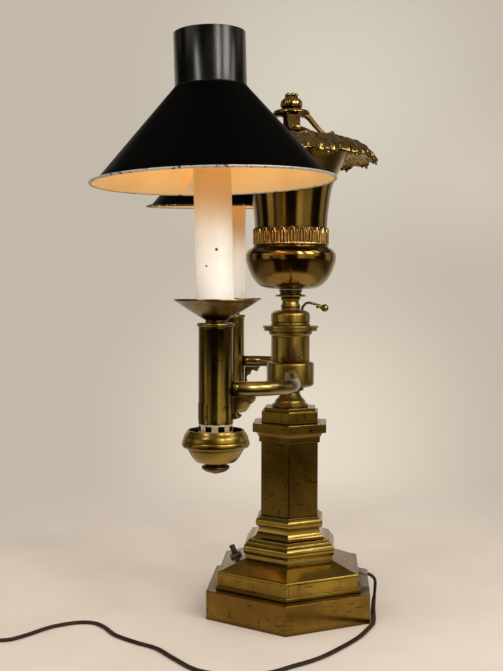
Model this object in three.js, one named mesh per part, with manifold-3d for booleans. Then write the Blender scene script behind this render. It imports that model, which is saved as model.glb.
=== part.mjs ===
// A two-arm Argand table lamp, turned and cast in brass and changed over to electricity. A hexagonal stepped
// pedestal carries a round receiver. An urn font lifts out of the receiver, and two arms carry a burner each,
// with an electric candle under a black cone shade.
// Millimetres, +Z up. The origin is the centre of the base, on the table. The burners stand forward, to -Y.

import * as THREE from "three";
import { mergeVertices } from "three/addons/utils/BufferGeometryUtils.js";
import Module from "manifold-3d";

const wasm = await Module();
wasm.setup();

// Clearances
const seatGap = 0.3; // between a piece and what it stands on
const fitGap = 0.3; // round a piece in its hole
const slideGap = 1; // round the font's spigot in the receiver
const overrun = 3; // how far a cutter passes the face that it cuts

// Facets of a turned piece
const hexSides = 6;
const wideSides = 24;
const roundSides = 16;
const thinSides = 12;
const tubeSides = 10;
const arcSteps = 4;

// Pedestal, hexagonal: a corner is the radius to a corner
const pedestalTurn = THREE.MathUtils.degToRad(-3.3);
const rodRadius = 4.85;
const rodBore = 3.2;
const plinth = { corner: 97.6, height: 30.1, wall: 3, throat: 60 };
const felt = { height: 3 };
const step = {
  footCorner: 86.4,
  footHeight: 3.8,
  corner: 84.4,
  faceHeight: 12,
  beadInset: 3.6,
  beadHeight: 2.9,
  crownCorner: 52.6,
  slopeHeight: 9.9,
  wall: 3,
};
const moulding = {
  footCorner: 52.2,
  footHeight: 4.2,
  torusCorner: 51.2,
  torusBulge: 3.9,
  torusHeight: 11.4,
  filletCorner: 51.4,
  filletHeight: 3.2,
  ledgeCorner: 48.4,
  ledgeHeight: 2,
  hollowCorner: 46.6,
  hollowTop: 36.8,
  hollowHeight: 12,
  beadCorner: 38,
  beadBulge: 2.7,
  beadHeight: 8.6,
  lipCorner: 36,
  lipHeight: 2.2,
  wall: 4.5,
};
const shaft = { corner: 34.4, wall: 2, length: 77.9 };
const capital = {
  neckCorner: 37,
  neckHeight: 6.2,
  coveCorner: 38.2,
  coveTop: 43.4,
  coveHeight: 4.3,
  abacusCorner: 44.6,
  abacusHeight: 9.2,
  chamfer: 0.9,
  wall: 5,
};
const block = { corner: 34, height: 12, slabCorner: 30.8, slabHeight: 3.8 };
const knop = { radius: 19, height: 20.4 };
const nut = { corner: 10, height: 6 };
const rodTail = 4; // how far the rod passes its nut

// Receiver and arms
const receiver = {
  footRadius: 18,
  bandRadius: 25.2,
  bandHeight: 24.3,
  footRounding: 3.7,
  shoulderHeight: 2.6,
  radius: 20.5,
  height: 27.1,
  coveRadius: 23,
  coveHeight: 5.8,
  plateRadius: 28.4,
  plateHeight: 2.7,
  floor: 7,
  wall: 2.9,
};
const ring = { radius: 29.6, height: 2.3 };
const arm = { radius: 6.6, rise: 14.9, span: 191.4, reach: 69.4, elbow: 48, steps: 24 };
const coupling = { radius: 7.9, length: 4.5 };
const tongue = { width: 12.8, foot: 8.6, drop: 2.2, height: 11, thick: 3.2 };
const bracket = { length: 20.7, drop: 19.7, thick: 4 };
const escutcheon = {
  turn: THREE.MathUtils.degToRad(7),
  width: 13.4,
  height: 16.5,
  thick: 2.2,
  barHeight: 3.2,
  volute: 3.3,
  voluteReach: 9,
};

// Burners
const burner = { radius: 15.4, wall: 1.3, below: 30.2, above: 54.5 };
const cap = { radius: 16.7, height: 3.3, hole: 5 };
const gallery = {
  radius: 15,
  wall: 1.3,
  height: 24.4,
  holes: 8,
  holeWidth: 5.4,
  holeHeight: 4.8,
  holeTop: 1.4,
};
const pan = {
  collarRadius: 9.3,
  collarHeight: 2.2,
  radius: 33,
  height: 15.2,
  lipRadius: 36.4,
  lipHeight: 3.2,
  wall: 1.5,
  floor: 6,
  floorRadius: 17.6,
  studRadius: 4.5,
  studLength: 6,
};
const candle = { radius: 16.6, wall: 1.6 };
const candleLean = THREE.MathUtils.degToRad(1.6);
const crookedTip = THREE.MathUtils.degToRad(3.9);
const burners = [
  { name: "right", side: 1, candle: 140.5, lean: candleLean, shadeShift: 0.9, shadeTip: 0 },
  { name: "left", side: -1, candle: 152, lean: 0, shadeShift: 0.5, shadeTip: crookedTip },
];
const socket = { stem: 4.85, radius: 13.4, height: 52, below: 5, bore: 11.8, depth: 24 };
const bulb = { base: 11.2, radius: 12.4, length: 92, below: 26 };
const shade = {
  radius: 108.1,
  flareRadius: 100.4,
  flareHeight: 4.1,
  coneHeight: 82.9,
  chimneyRadius: 31.4,
  chimneyHeight: 46.6,
  wall: 1,
  rimBead: 1.5,
  belowRing: 28.2,
};
const spider = {
  ringRadius: 18.8,
  ringHole: 15.4,
  ringHeight: 2,
  straps: 3,
  firstStrap: THREE.MathUtils.degToRad(76),
  strapWidth: 8,
  strapThick: 1.2,
  strapDrop: 22.5,
};
const cup = {
  baseRadius: 17.2,
  height: 28.1,
  floor: 2.5,
  collarWall: 1.5,
  collarRise: 14.6,
  studHole: 2.6,
  grip: 8,
};
const finial = { neck: 9.3, neckHeight: 2.6, radius: 12.4, height: 10.8, studRadius: 2.3, studLength: 2.2 };

// Font, which lifts out
const dome = { radius: 20.8, height: 16.6, side: 11.6, topRadius: 11 };
const spigot = { length: 50, wall: 1.5 };
const neck = { radius: 10.4, height: 21.3, discRadius: 16.5, bore: 4 };
const bowl = { radius: 48.1, height: 46.4, wall: 1.6, mouth: 36.4 };
const band = { radius: 39.9, height: 17.8, relief: 1.4, leaves: 24, astragal: 1.8 };
const vase = { height: 104.3, lipRadius: 66.5, wall: 1.9 };
const rim = {
  radius: 91,
  drop: 24,
  thick: 2.6,
  leaves: 16,
  notch: 6.5,
  notchRise: 4,
  curlStart: 66,
  inner: 34,
  ledge: 1,
};
const lid = { radius: 38.4, height: 13.4, edge: 1.6, thick: 1.6 };
const crown = {
  brackets: 4,
  turn: THREE.MathUtils.degToRad(5),
  footRadius: 45,
  width: 6,
  thick: 3,
  height: 23.6,
  discRadius: 19.6,
  discHeight: 5.8,
  steps: 9,
};
const bud = { radius: 11.8, height: 11.4, lobes: 8, petalRadius: 7.3, petalHeight: 5.6 };
const valve = { rod: 1.4, reach: 26.5, foot: 1, rise: 23, ball: 4.1, collar: 2.3, collarLength: 2.4 };

// Electric fittings
const lever = {
  nutCorner: 6.6,
  nutHeight: 3,
  bushing: 4.6,
  buttonRadius: 3.1,
  buttonRise: 9.6,
  body: 9,
  bodyDepth: 18,
};
const buttonDepth = 12; // how far the button's bore goes into the switch
const buttonFoot = 3.2; // what stays free under the button for its stroke
const gland = { radius: 3.4, length: 10.4, height: 41.8, sag: THREE.MathUtils.degToRad(15), mouth: 0.7 };
const cordWidth = 4.8;
const coil = { x: 82.1, y: -352, acrossShare: 12, turns: 6, selfGap: 0.7, loopSteps: 24, sides: 6, tail: 33 };
const plugBody = {
  width: 24,
  thick: 15,
  length: 27,
  round: 4,
  bladeWidth: 6.3,
  bladeThick: 1.5,
  bladeLength: 17,
};
const bladeSpacing = 12.7;

// Finishes
const finish = (color, roughness, metalness) =>
  new THREE.MeshStandardMaterial({ color, roughness, metalness });
const brass = () => finish(0x8a6c2c, 0.35, 1);
const darkBrass = () => finish(0x4f3d1a, 0.45, 1);
const giltBrass = () => finish(0xb98a3a, 0.4, 1);
const steel = () => finish(0x77736b, 0.5, 1);
const ivory = () => finish(0xefe3cd, 0.6, 0);
const blackPaint = () => finish(0x111313, 0.4, 0);
const brownBronze = () => finish(0x3a2418, 0.55, 0.6);
const brownPlastic = () => finish(0x2a1a14, 0.5, 0);
const greyPlastic = () => finish(0x6b625c, 0.6, 0);
const porcelain = () => finish(0xded6c6, 0.4, 0);
const warmGlass = () => finish(0xffe2b0, 0.2, 0);
const greenFelt = () => finish(0x24402c, 0.95, 0);

const lamp = new THREE.Group();
const pedestal = new THREE.Group();
pedestal.rotation.z = pedestalTurn;
lamp.add(pedestal);

const half = (length) => length / 2;
const hexInset = 1 / Math.cos(Math.PI / hexSides); // a wall's thickness as a step in the corner radius
const apothem = (corner) => corner / hexInset;
const at = (x, y) => new THREE.Vector2(x, y);

function addMesh(group, name, geometry, material) {
  const mesh = new THREE.Mesh(geometry, material);
  mesh.name = name;
  group.add(mesh);
  return mesh;
}

// An outline given in shares of a radius and a height, in millimetres.
function outlineFrom(shares, radius, height, base = 0) {
  return shares.map(([across, up]) => at(across * radius, base + up * height));
}

// A smooth outline through the same kind of shares.
function smoothOutline(shares, radius, height, steps, base = 0) {
  return new THREE.SplineCurve(outlineFrom(shares, radius, height, base)).getPoints(steps);
}

// A half-round moulding from one height to another. It stands out by bulge, or is hollow where bulge is
// negative.
function roll(radius, low, high, bulge, steps = arcSteps) {
  const points = [];
  for (let i = 0; i <= steps; i++) {
    const angle = (Math.PI * i) / steps;
    const up = half(low + high) - half(high - low) * Math.cos(angle);
    points.push(at(radius + bulge * Math.sin(angle), up));
  }
  return points;
}

// A quarter-round from one point to another. It leaves the first point level, or upright where level is
// false.
function quarter(from, to, level, steps = arcSteps) {
  const points = [];
  for (let i = 0; i <= steps; i++) {
    const angle = (half(Math.PI) * i) / steps;
    const across = level ? Math.sin(angle) : 1 - Math.cos(angle);
    const along = level ? 1 - Math.cos(angle) : Math.sin(angle);
    points.push(at(from.x + (to.x - from.x) * across, from.y + (to.y - from.y) * along));
  }
  return points;
}

// An outline turned about the upright axis. It starts and ends on the axis, or is closed on itself here.
function turn(outline, sides = roundSides, start = 0) {
  const loop = outline[0].x > 0 ? [...outline, outline[0].clone()] : outline;
  let area = 0;
  for (let i = 0; i < loop.length; i++) area += loop[i].cross(loop[(i + 1) % loop.length]);
  const points = area > 0 ? loop : [...loop].reverse();
  const geometry = new THREE.LatheGeometry(points, sides, start);
  geometry.rotateX(half(Math.PI));
  return geometry;
}

// The same outline on a hexagon, with a corner on +X.
const turnHex = (outline) => turn(outline, hexSides, half(Math.PI));

const rodRound = (low, high, radius, sides = roundSides) =>
  turn([at(0, low), at(radius, low), at(radius, high), at(0, high)], sides);
const tube = (low, high, outer, inner, sides = roundSides) =>
  turn([at(inner, low), at(outer, low), at(outer, high), at(inner, high)], sides);

// A closed mesh as a solid for cutting and joining, and back.
function solidFrom(geometry) {
  const bare = geometry.clone();
  bare.deleteAttribute("normal");
  bare.deleteAttribute("uv");
  const merged = mergeVertices(bare);
  const corners = merged.index.array;
  const kept = [];
  for (let i = 0; i < corners.length; i += 3) {
    const [a, b, c] = corners.slice(i, i + 3);
    if (a !== b && b !== c && c !== a) kept.push(a, b, c);
  }
  const vertProperties = merged.attributes.position.array;
  return new wasm.Manifold(new wasm.Mesh({ numProp: 3, vertProperties, triVerts: new Uint32Array(kept) }));
}

function geometryFrom(solid) {
  const { vertProperties, triVerts } = solid.getMesh();
  const geometry = new THREE.BufferGeometry();
  geometry.setAttribute("position", new THREE.BufferAttribute(vertProperties, 3));
  geometry.setIndex(new THREE.BufferAttribute(triVerts, 1));
  const flat = geometry.toNonIndexed();
  flat.computeVertexNormals();
  return flat;
}

const cut = (body, ...tools) =>
  geometryFrom(tools.reduce((rest, tool) => rest.subtract(solidFrom(tool)), solidFrom(body)));
const join = (body, ...others) =>
  geometryFrom(others.reduce((whole, other) => whole.add(solidFrom(other)), solidFrom(body)));
const common = (body, mould) => geometryFrom(solidFrom(body).intersect(solidFrom(mould)));

// Moves every point of a turned shape by a rule on its angle, radius and height.
function ripple(geometry, rule) {
  const place = geometry.attributes.position;
  for (let i = 0; i < place.count; i++) {
    const angle = Math.atan2(place.getY(i), place.getX(i));
    const radius = Math.hypot(place.getX(i), place.getY(i));
    const moved = rule(angle, radius, place.getZ(i));
    place.setXYZ(i, moved.radius * Math.cos(angle), moved.radius * Math.sin(angle), moved.height);
  }
  geometry.computeVertexNormals();
  return geometry;
}

// A section with flat sides, for tubes along a path.
function roundSection(radius, sides) {
  const corners = [];
  for (let i = 0; i < sides; i++) {
    const angle = (2 * Math.PI * (i + 1 / 2)) / sides;
    corners.push(at(radius * Math.cos(angle), radius * Math.sin(angle)));
  }
  return new THREE.Shape(corners);
}

const alongPath = (section, path, steps) =>
  new THREE.ExtrudeGeometry(section, { extrudePath: path, steps, bevelEnabled: false });

// Pedestal, from the table up
const feltCorner = plinth.corner - (plinth.wall + fitGap) * hexInset;
addMesh(
  pedestal,
  "base_felt",
  turnHex([at(0, 0), at(feltCorner, 0), at(feltCorner, felt.height), at(0, felt.height)]),
  greenFelt(),
);

const plinthInner = plinth.corner - plinth.wall * hexInset;
const plinthCeiling = plinth.height - plinth.wall;
addMesh(
  pedestal,
  "plinth",
  turnHex([
    at(plinthInner, 0),
    at(plinth.corner, 0),
    at(plinth.corner, plinth.height),
    at(plinth.throat, plinth.height),
    at(plinth.throat, plinthCeiling),
    at(plinthInner, plinthCeiling),
  ]),
  brass(),
);

const stepFoot = plinth.height + seatGap;
const stepFace = stepFoot + step.footHeight;
const stepBead = stepFace + step.faceHeight;
const stepSlope = stepBead + step.beadHeight;
const stepTop = stepSlope + step.slopeHeight;
const slopeFoot = step.corner - step.beadInset;
const stepInset = step.wall * hexInset;
const rodHole = rodRadius + fitGap;
const rodHexHole = rodHole * hexInset;
const slopeAngle = Math.atan2(step.slopeHeight, apothem(slopeFoot - step.crownCorner));
const slopeWall = step.wall * (Math.sin(slopeAngle) + Math.cos(slopeAngle));
const switchSeat = new THREE.Group();
switchSeat.position.set(0, -apothem(half(slopeFoot + step.crownCorner)), half(stepSlope + stepTop));
switchSeat.rotation.x = slopeAngle;
const glandSeat = new THREE.Group();
glandSeat.position.set(0, apothem(step.corner), gland.height);
glandSeat.rotation.x = -half(Math.PI) - gland.sag;
pedestal.add(switchSeat, glandSeat);
switchSeat.updateMatrix();
glandSeat.updateMatrix();

const steppedBase = turnHex([
  at(rodHexHole, stepTop),
  at(step.crownCorner, stepTop),
  at(slopeFoot, stepSlope),
  at(step.corner - half(step.beadInset), stepSlope),
  ...quarter(at(step.corner - half(step.beadInset), stepSlope), at(step.corner, stepBead), true).slice(1),
  at(step.corner, stepFace),
  at(step.footCorner, stepFace),
  at(step.footCorner, stepFoot),
  at(step.corner - stepInset, stepFoot),
  at(step.corner - stepInset, stepBead - step.wall),
  at(slopeFoot - stepInset, stepSlope - step.wall),
  at(step.crownCorner - stepInset, stepTop - step.wall),
  at(rodHexHole, stepTop - step.wall),
]);
const switchHole = rodRound(-slopeWall - overrun, overrun, lever.bushing + fitGap, thinSides);
const glandHole = rodRound(-step.wall - overrun, overrun, gland.radius + fitGap, thinSides);
addMesh(
  pedestal,
  "stepped_base",
  cut(steppedBase, switchHole.applyMatrix4(switchSeat.matrix), glandHole.applyMatrix4(glandSeat.matrix)),
  brass(),
);

const mouldFoot = stepTop + seatGap;
const torusLow = mouldFoot + moulding.footHeight;
const torusHigh = torusLow + moulding.torusHeight;
const filletTop = torusHigh + moulding.filletHeight;
const ledgeTop = filletTop + moulding.ledgeHeight;
const hollowTop = ledgeTop + moulding.hollowHeight;
const beadTop = hollowTop + moulding.beadHeight;
const mouldTop = beadTop + moulding.lipHeight;
addMesh(
  pedestal,
  "base_moulding",
  turnHex([
    at(moulding.footCorner - moulding.wall, mouldFoot),
    at(moulding.footCorner, mouldFoot),
    at(moulding.footCorner, torusLow),
    ...roll(moulding.torusCorner, torusLow, torusHigh, moulding.torusBulge, arcSteps + 2),
    ...quarter(at(moulding.filletCorner, torusHigh), at(moulding.ledgeCorner, filletTop), false),
    at(moulding.ledgeCorner, ledgeTop),
    ...quarter(at(moulding.hollowTop, hollowTop), at(moulding.hollowCorner, ledgeTop), false).reverse(),
    ...roll(moulding.beadCorner, hollowTop, beadTop, moulding.beadBulge),
    at(moulding.lipCorner, beadTop),
    at(moulding.lipCorner, mouldTop),
    at(shaft.corner - moulding.wall, mouldTop),
    at(moulding.hollowTop - moulding.wall, hollowTop),
    at(moulding.ledgeCorner - moulding.wall, torusHigh),
  ]),
  brass(),
);

const shaftFoot = mouldTop + seatGap;
const shaftTop = shaftFoot + shaft.length;
const shaftInner = shaft.corner - shaft.wall * hexInset;
addMesh(
  pedestal,
  "column_shaft",
  turnHex([
    at(shaftInner, shaftFoot),
    at(shaft.corner, shaftFoot),
    at(shaft.corner, shaftTop),
    at(shaftInner, shaftTop),
  ]),
  brass(),
);

const capitalFoot = shaftTop + seatGap;
const neckTop = capitalFoot + capital.neckHeight;
const coveTop = neckTop + capital.coveHeight;
const abacusTop = coveTop + capital.abacusHeight;
const capitalInner = shaft.corner - capital.wall;
addMesh(
  pedestal,
  "capital",
  turnHex([
    at(capitalInner, capitalFoot),
    at(capital.neckCorner, capitalFoot),
    at(capital.neckCorner, neckTop),
    ...quarter(at(capital.coveCorner, neckTop), at(capital.coveTop, coveTop), false),
    at(capital.abacusCorner, coveTop),
    at(capital.abacusCorner, abacusTop - capital.chamfer),
    at(capital.abacusCorner - capital.chamfer, abacusTop),
    at(capitalInner, abacusTop),
  ]),
  brass(),
);

const blockFoot = abacusTop + seatGap;
const slabFoot = blockFoot + block.height;
const blockTop = slabFoot + block.slabHeight;
addMesh(
  pedestal,
  "cap_block",
  turnHex([
    at(rodHexHole, blockFoot),
    at(block.corner, blockFoot),
    at(block.corner, slabFoot),
    at(block.slabCorner, slabFoot),
    at(block.slabCorner, blockTop),
    at(rodHexHole, blockTop),
  ]),
  brass(),
);

const knopShares = [
  [1, 0.02],
  [0.99, 0.14],
  [0.87, 0.17],
  [0.84, 0.29],
  [0.66, 0.48],
  [0.55, 0.66],
  [0.55, 0.78],
  [0.72, 0.84],
  [0.76, 0.9],
  [0.7, 1],
];
const knopFoot = blockTop + seatGap;
const knopTop = knopFoot + knop.height;
addMesh(
  lamp,
  "baluster_knop",
  turn([
    at(rodHole, knopFoot),
    at(knop.radius, knopFoot),
    ...outlineFrom(knopShares, knop.radius, knop.height, knopFoot),
    at(rodHole, knopTop),
  ]),
  brass(),
);

const receiverFoot = knopTop + seatGap;
const rodTop = receiverFoot + receiver.floor - seatGap;
const nutTop = stepTop - step.wall - seatGap;
const nutFoot = nutTop - nut.height;
addMesh(lamp, "tie_rod", tube(nutFoot - rodTail, rodTop, rodRadius, rodBore, thinSides), steel());
addMesh(
  pedestal,
  "tie_rod_nut",
  cut(
    turnHex([at(0, nutFoot), at(nut.corner, nutFoot), at(nut.corner, nutTop), at(0, nutTop)]),
    rodRound(nutFoot - overrun, nutTop + overrun, rodHole, thinSides),
  ),
  steel(),
);

// Receiver: the font's spigot stands in its bore
const bandTop = receiverFoot + receiver.bandHeight;
const receiverNeck = bandTop + receiver.shoulderHeight;
const receiverCove = receiverNeck + receiver.height;
const plateFoot = receiverCove + receiver.coveHeight;
const plateTop = plateFoot + receiver.plateHeight;
const receiverBore = receiver.radius - receiver.wall;
const receiverFloor = receiverFoot + receiver.floor;
addMesh(
  lamp,
  "receiver",
  turn(
    [
      at(rodHole, receiverFoot),
      ...quarter(
        at(receiver.footRadius, receiverFoot),
        at(receiver.bandRadius, receiverFoot + receiver.footRounding),
        true,
      ),
      at(receiver.bandRadius, bandTop),
      ...quarter(at(receiver.bandRadius, bandTop), at(receiver.radius, receiverNeck), true).slice(1),
      at(receiver.radius, receiverCove),
      at(half(receiver.radius + receiver.coveRadius), receiverCove),
      at(receiver.coveRadius, half(receiverCove + plateFoot)),
      at(receiver.coveRadius, plateFoot),
      at(receiver.plateRadius, plateFoot),
      at(receiver.plateRadius, plateTop),
      at(receiverBore, plateTop),
      at(receiverBore, receiverFloor),
      at(rodHole, receiverFloor),
    ],
    wideSides,
  ),
  brass(),
);

const ringFoot = plateTop + seatGap;
const ringTop = ringFoot + ring.height;
addMesh(lamp, "flange_ring", tube(ringFoot, ringTop, ring.radius, receiverBore, wideSides), brass());

// Arms: out of the receiver's band sideways, then round an elbow to the back of the burner tube
const armHeight = receiverFoot + arm.rise;
const quarterArcShare = 0.5523; // where the handles of a curve stand for a quarter circle

function armPath(side) {
  const corner = new THREE.Vector3(side * arm.span, 0, armHeight);
  const before = corner.clone().setX(side * (arm.span - arm.elbow));
  const after = corner.clone().setY(-arm.elbow);
  const path = new THREE.CurvePath();
  path.add(new THREE.LineCurve3(corner.clone().setX(0), before));
  path.add(
    new THREE.CubicBezierCurve3(
      before,
      before.clone().lerp(corner, quarterArcShare),
      after.clone().lerp(corner, quarterArcShare),
      after,
    ),
  );
  path.add(new THREE.LineCurve3(after, corner.clone().setY(-arm.reach)));
  return path;
}

const armRoot = receiver.bandRadius + seatGap;
const onReceiver = (radius) => rodRound(receiverFoot - overrun, bandTop + overrun, radius, wideSides);
const couplingBore = arm.radius + fitGap;

// A flat shape thickened by a depth and stood upright: its face looks along X, and its height is Z.
function uprightPlate(shape, depth) {
  const plate = new THREE.ExtrudeGeometry(shape, { depth, bevelEnabled: false });
  return plate.rotateX(half(Math.PI)).rotateZ(half(Math.PI));
}

// The bracket hangs under the arm behind the burner tube. Its free edge runs in three lobes.
const bracketShares = [
  [0, 1],
  [0.2, 0.93],
  [0.13, 0.76],
  [0.19, 0.56],
  [0.38, 0.5],
  [0.4, 0.3],
  [0.55, 0.21],
  [0.7, 0.32],
  [0.84, 0.26],
  [0.86, 0.1],
  [1, 0],
];

function addArm(side, name) {
  const burnerX = side * arm.span;
  const round = alongPath(roundSection(arm.radius, tubeSides), armPath(side), arm.steps);
  const aroundBurner = rodRound(armHeight - burner.below, armHeight + burner.above, burner.radius + seatGap);
  aroundBurner.translate(burnerX, -arm.reach, 0);
  addMesh(lamp, `${name}_arm`, cut(round, onReceiver(armRoot), aroundBurner), brass());

  // The coupling is a collar round the arm's root, with a tongue that runs up the band under the escutcheon.
  const collarEnd = armRoot + coupling.length;
  const turnOut = side > 0 ? 0 : Math.PI;
  const collar = tube(0, collarEnd, coupling.radius, couplingBore).rotateY(half(Math.PI));
  const tongueTop = bandTop - armHeight - seatGap;
  const tongueShape = new THREE.Shape([
    at(-half(tongue.foot), tongueTop - tongue.height),
    at(half(tongue.foot), tongueTop - tongue.height),
    at(half(tongue.width), tongueTop - tongue.drop),
    at(half(tongue.width), tongueTop),
    at(-half(tongue.width), tongueTop),
    at(-half(tongue.width), tongueTop - tongue.drop),
  ]);
  const tonguePlate = uprightPlate(tongueShape, armRoot + tongue.thick);
  const bore = rodRound(0, collarEnd + overrun, couplingBore).rotateY(half(Math.PI));
  const couplingSolid = cut(join(collar, tonguePlate), bore).rotateZ(turnOut);
  couplingSolid.translate(0, 0, armHeight);
  addMesh(lamp, `${name}_arm_coupling`, cut(couplingSolid, onReceiver(armRoot)), brass());

  const leaf = new THREE.Shape([
    at(0, 0),
    ...bracketShares.map(([back, down]) => at(back * bracket.length, -down * bracket.drop)),
  ]);
  const plate = uprightPlate(leaf, bracket.thick).translate(-half(bracket.thick), 0, 0);
  const mesh = addMesh(lamp, `${name}_arm_bracket`, plate, darkBrass());
  mesh.position.set(burnerX, -arm.reach + burner.radius + seatGap, armHeight - arm.radius - seatGap);
}

// A shield and two scrolls, bent round the receiver over the arm's root
const shieldShares = [
  [0.42, 0.1],
  [0.36, 0.3],
  [0.36, 0.55],
  [0.43, 0.8],
  [0.5, 0.95],
  [0.28, 0.92],
  [0.14, 1],
];

function addEscutcheon(side, name) {
  const halfShield = outlineFrom(shieldShares, escutcheon.width, escutcheon.height);
  const mirrored = halfShield.map((p) => at(-p.x, p.y)).reverse();
  const flat = (shape) => uprightPlate(shape, receiver.bandRadius);
  const shield = flat(new THREE.Shape([...halfShield, ...mirrored]));
  const barHalf = escutcheon.voluteReach;
  const bar = flat(
    new THREE.Shape([
      at(-barHalf, 0),
      at(barHalf, 0),
      at(barHalf, escutcheon.barHeight),
      at(-barHalf, escutcheon.barHeight),
    ]),
  );
  const volutes = [-1, 1].map((hand) => {
    const disc = flat(roundSection(escutcheon.volute, tubeSides));
    return disc.translate(0, hand * escutcheon.voluteReach, escutcheon.volute);
  });
  const piece = join(shield, bar, ...volutes);
  piece.rotateZ(side > 0 ? escutcheon.turn : Math.PI - escutcheon.turn);
  const foot = receiverNeck + seatGap;
  piece.translate(0, 0, foot);
  const shell = tube(
    foot,
    foot + escutcheon.height + overrun,
    receiver.radius + fitGap + escutcheon.thick,
    receiver.radius + fitGap,
    wideSides,
  );
  addMesh(lamp, `${name}_escutcheon`, common(piece, shell), brownBronze());
}

// One burner, from the drip cup up to the shade
const tubeFoot = armHeight - burner.below;
const tubeTop = armHeight + burner.above;
const capFoot = tubeTop + seatGap;
const capTop = capFoot + cap.height;
const galleryTop = tubeFoot - seatGap;
const galleryFoot = galleryTop - gallery.height;
const panFoot = capTop + seatGap;
const panBowl = panFoot + pan.collarHeight;
const panLip = panBowl + pan.height;
const panFloor = panBowl + pan.floor;
const panTop = panLip + pan.lipHeight;
const candleFoot = panFloor + seatGap;
const cupCollar = gallery.radius + fitGap;
const cupFoot = galleryFoot + cup.grip - cup.collarRise - cup.floor;

const cupShares = [
  [1, 0],
  [1.05, 0.02],
  [1.23, 0.16],
  [1.45, 0.4],
  [1.65, 0.47],
  [1.74, 0.57],
  [1.74, 0.68],
  [1.64, 0.82],
  [1.45, 1],
];
const finialShares = [
  [0.3, -0.95],
  [0.74, -0.76],
  [1, -0.5],
  [0.97, -0.32],
];
const panKneeShare = 0.16; // the height of the pan's foot curve, in shares of its height
const panFlareShare = 0.32;
const cupInnerShares = [
  [1.37, 1],
  [1.55, 0.82],
  [1.62, 0.7],
  [1.59, 0.62],
  [1.41, 0.51],
  [1.15, 0.18],
];

function galleryGeometry() {
  const ringWall = tube(galleryFoot, galleryTop, gallery.radius, gallery.radius - gallery.wall);
  const windows = [];
  for (let i = 0; i < gallery.holes; i++) {
    const window = new THREE.BoxGeometry(gallery.wall + overrun, gallery.holeWidth, gallery.holeHeight);
    window.translate(gallery.radius, 0, galleryTop - gallery.holeTop - half(gallery.holeHeight));
    windows.push(window.rotateZ((2 * Math.PI * (i + 1 / 2)) / gallery.holes));
  }
  return cut(ringWall, ...windows);
}

// The shade and its spider stand on their own zero, which is the foot of the spider's ring.
const shadeFoot = -shade.belowRing;
const coneTop = shadeFoot + shade.coneHeight;
const chimneyTop = coneTop + shade.chimneyHeight;

function spiderGeometry() {
  const plate = tube(0, spider.ringHeight, spider.ringRadius, spider.ringHole);
  const start = half(spider.ringRadius + spider.ringHole);
  const run = shade.radius - start;
  const straps = [];
  for (let i = 0; i < spider.straps; i++) {
    const length = Math.hypot(run, spider.strapDrop);
    const strap = new THREE.BoxGeometry(length, spider.strapWidth, spider.strapThick);
    strap.translate(half(length), 0, 0).rotateY(Math.atan2(spider.strapDrop, run));
    strap.translate(start, 0, half(spider.ringHeight));
    straps.push(strap.rotateZ(spider.firstStrap + (2 * Math.PI * i) / spider.straps));
  }
  const inside = turn(
    [
      at(0, shadeFoot + shade.flareHeight),
      at(shade.flareRadius - shade.wall * 2 - seatGap, shadeFoot + shade.flareHeight),
      at(shade.chimneyRadius - shade.wall - seatGap, coneTop - shade.wall),
      at(0, coneTop - shade.wall),
    ],
    wideSides,
  );
  return common(join(plate, ...straps), inside);
}

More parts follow.
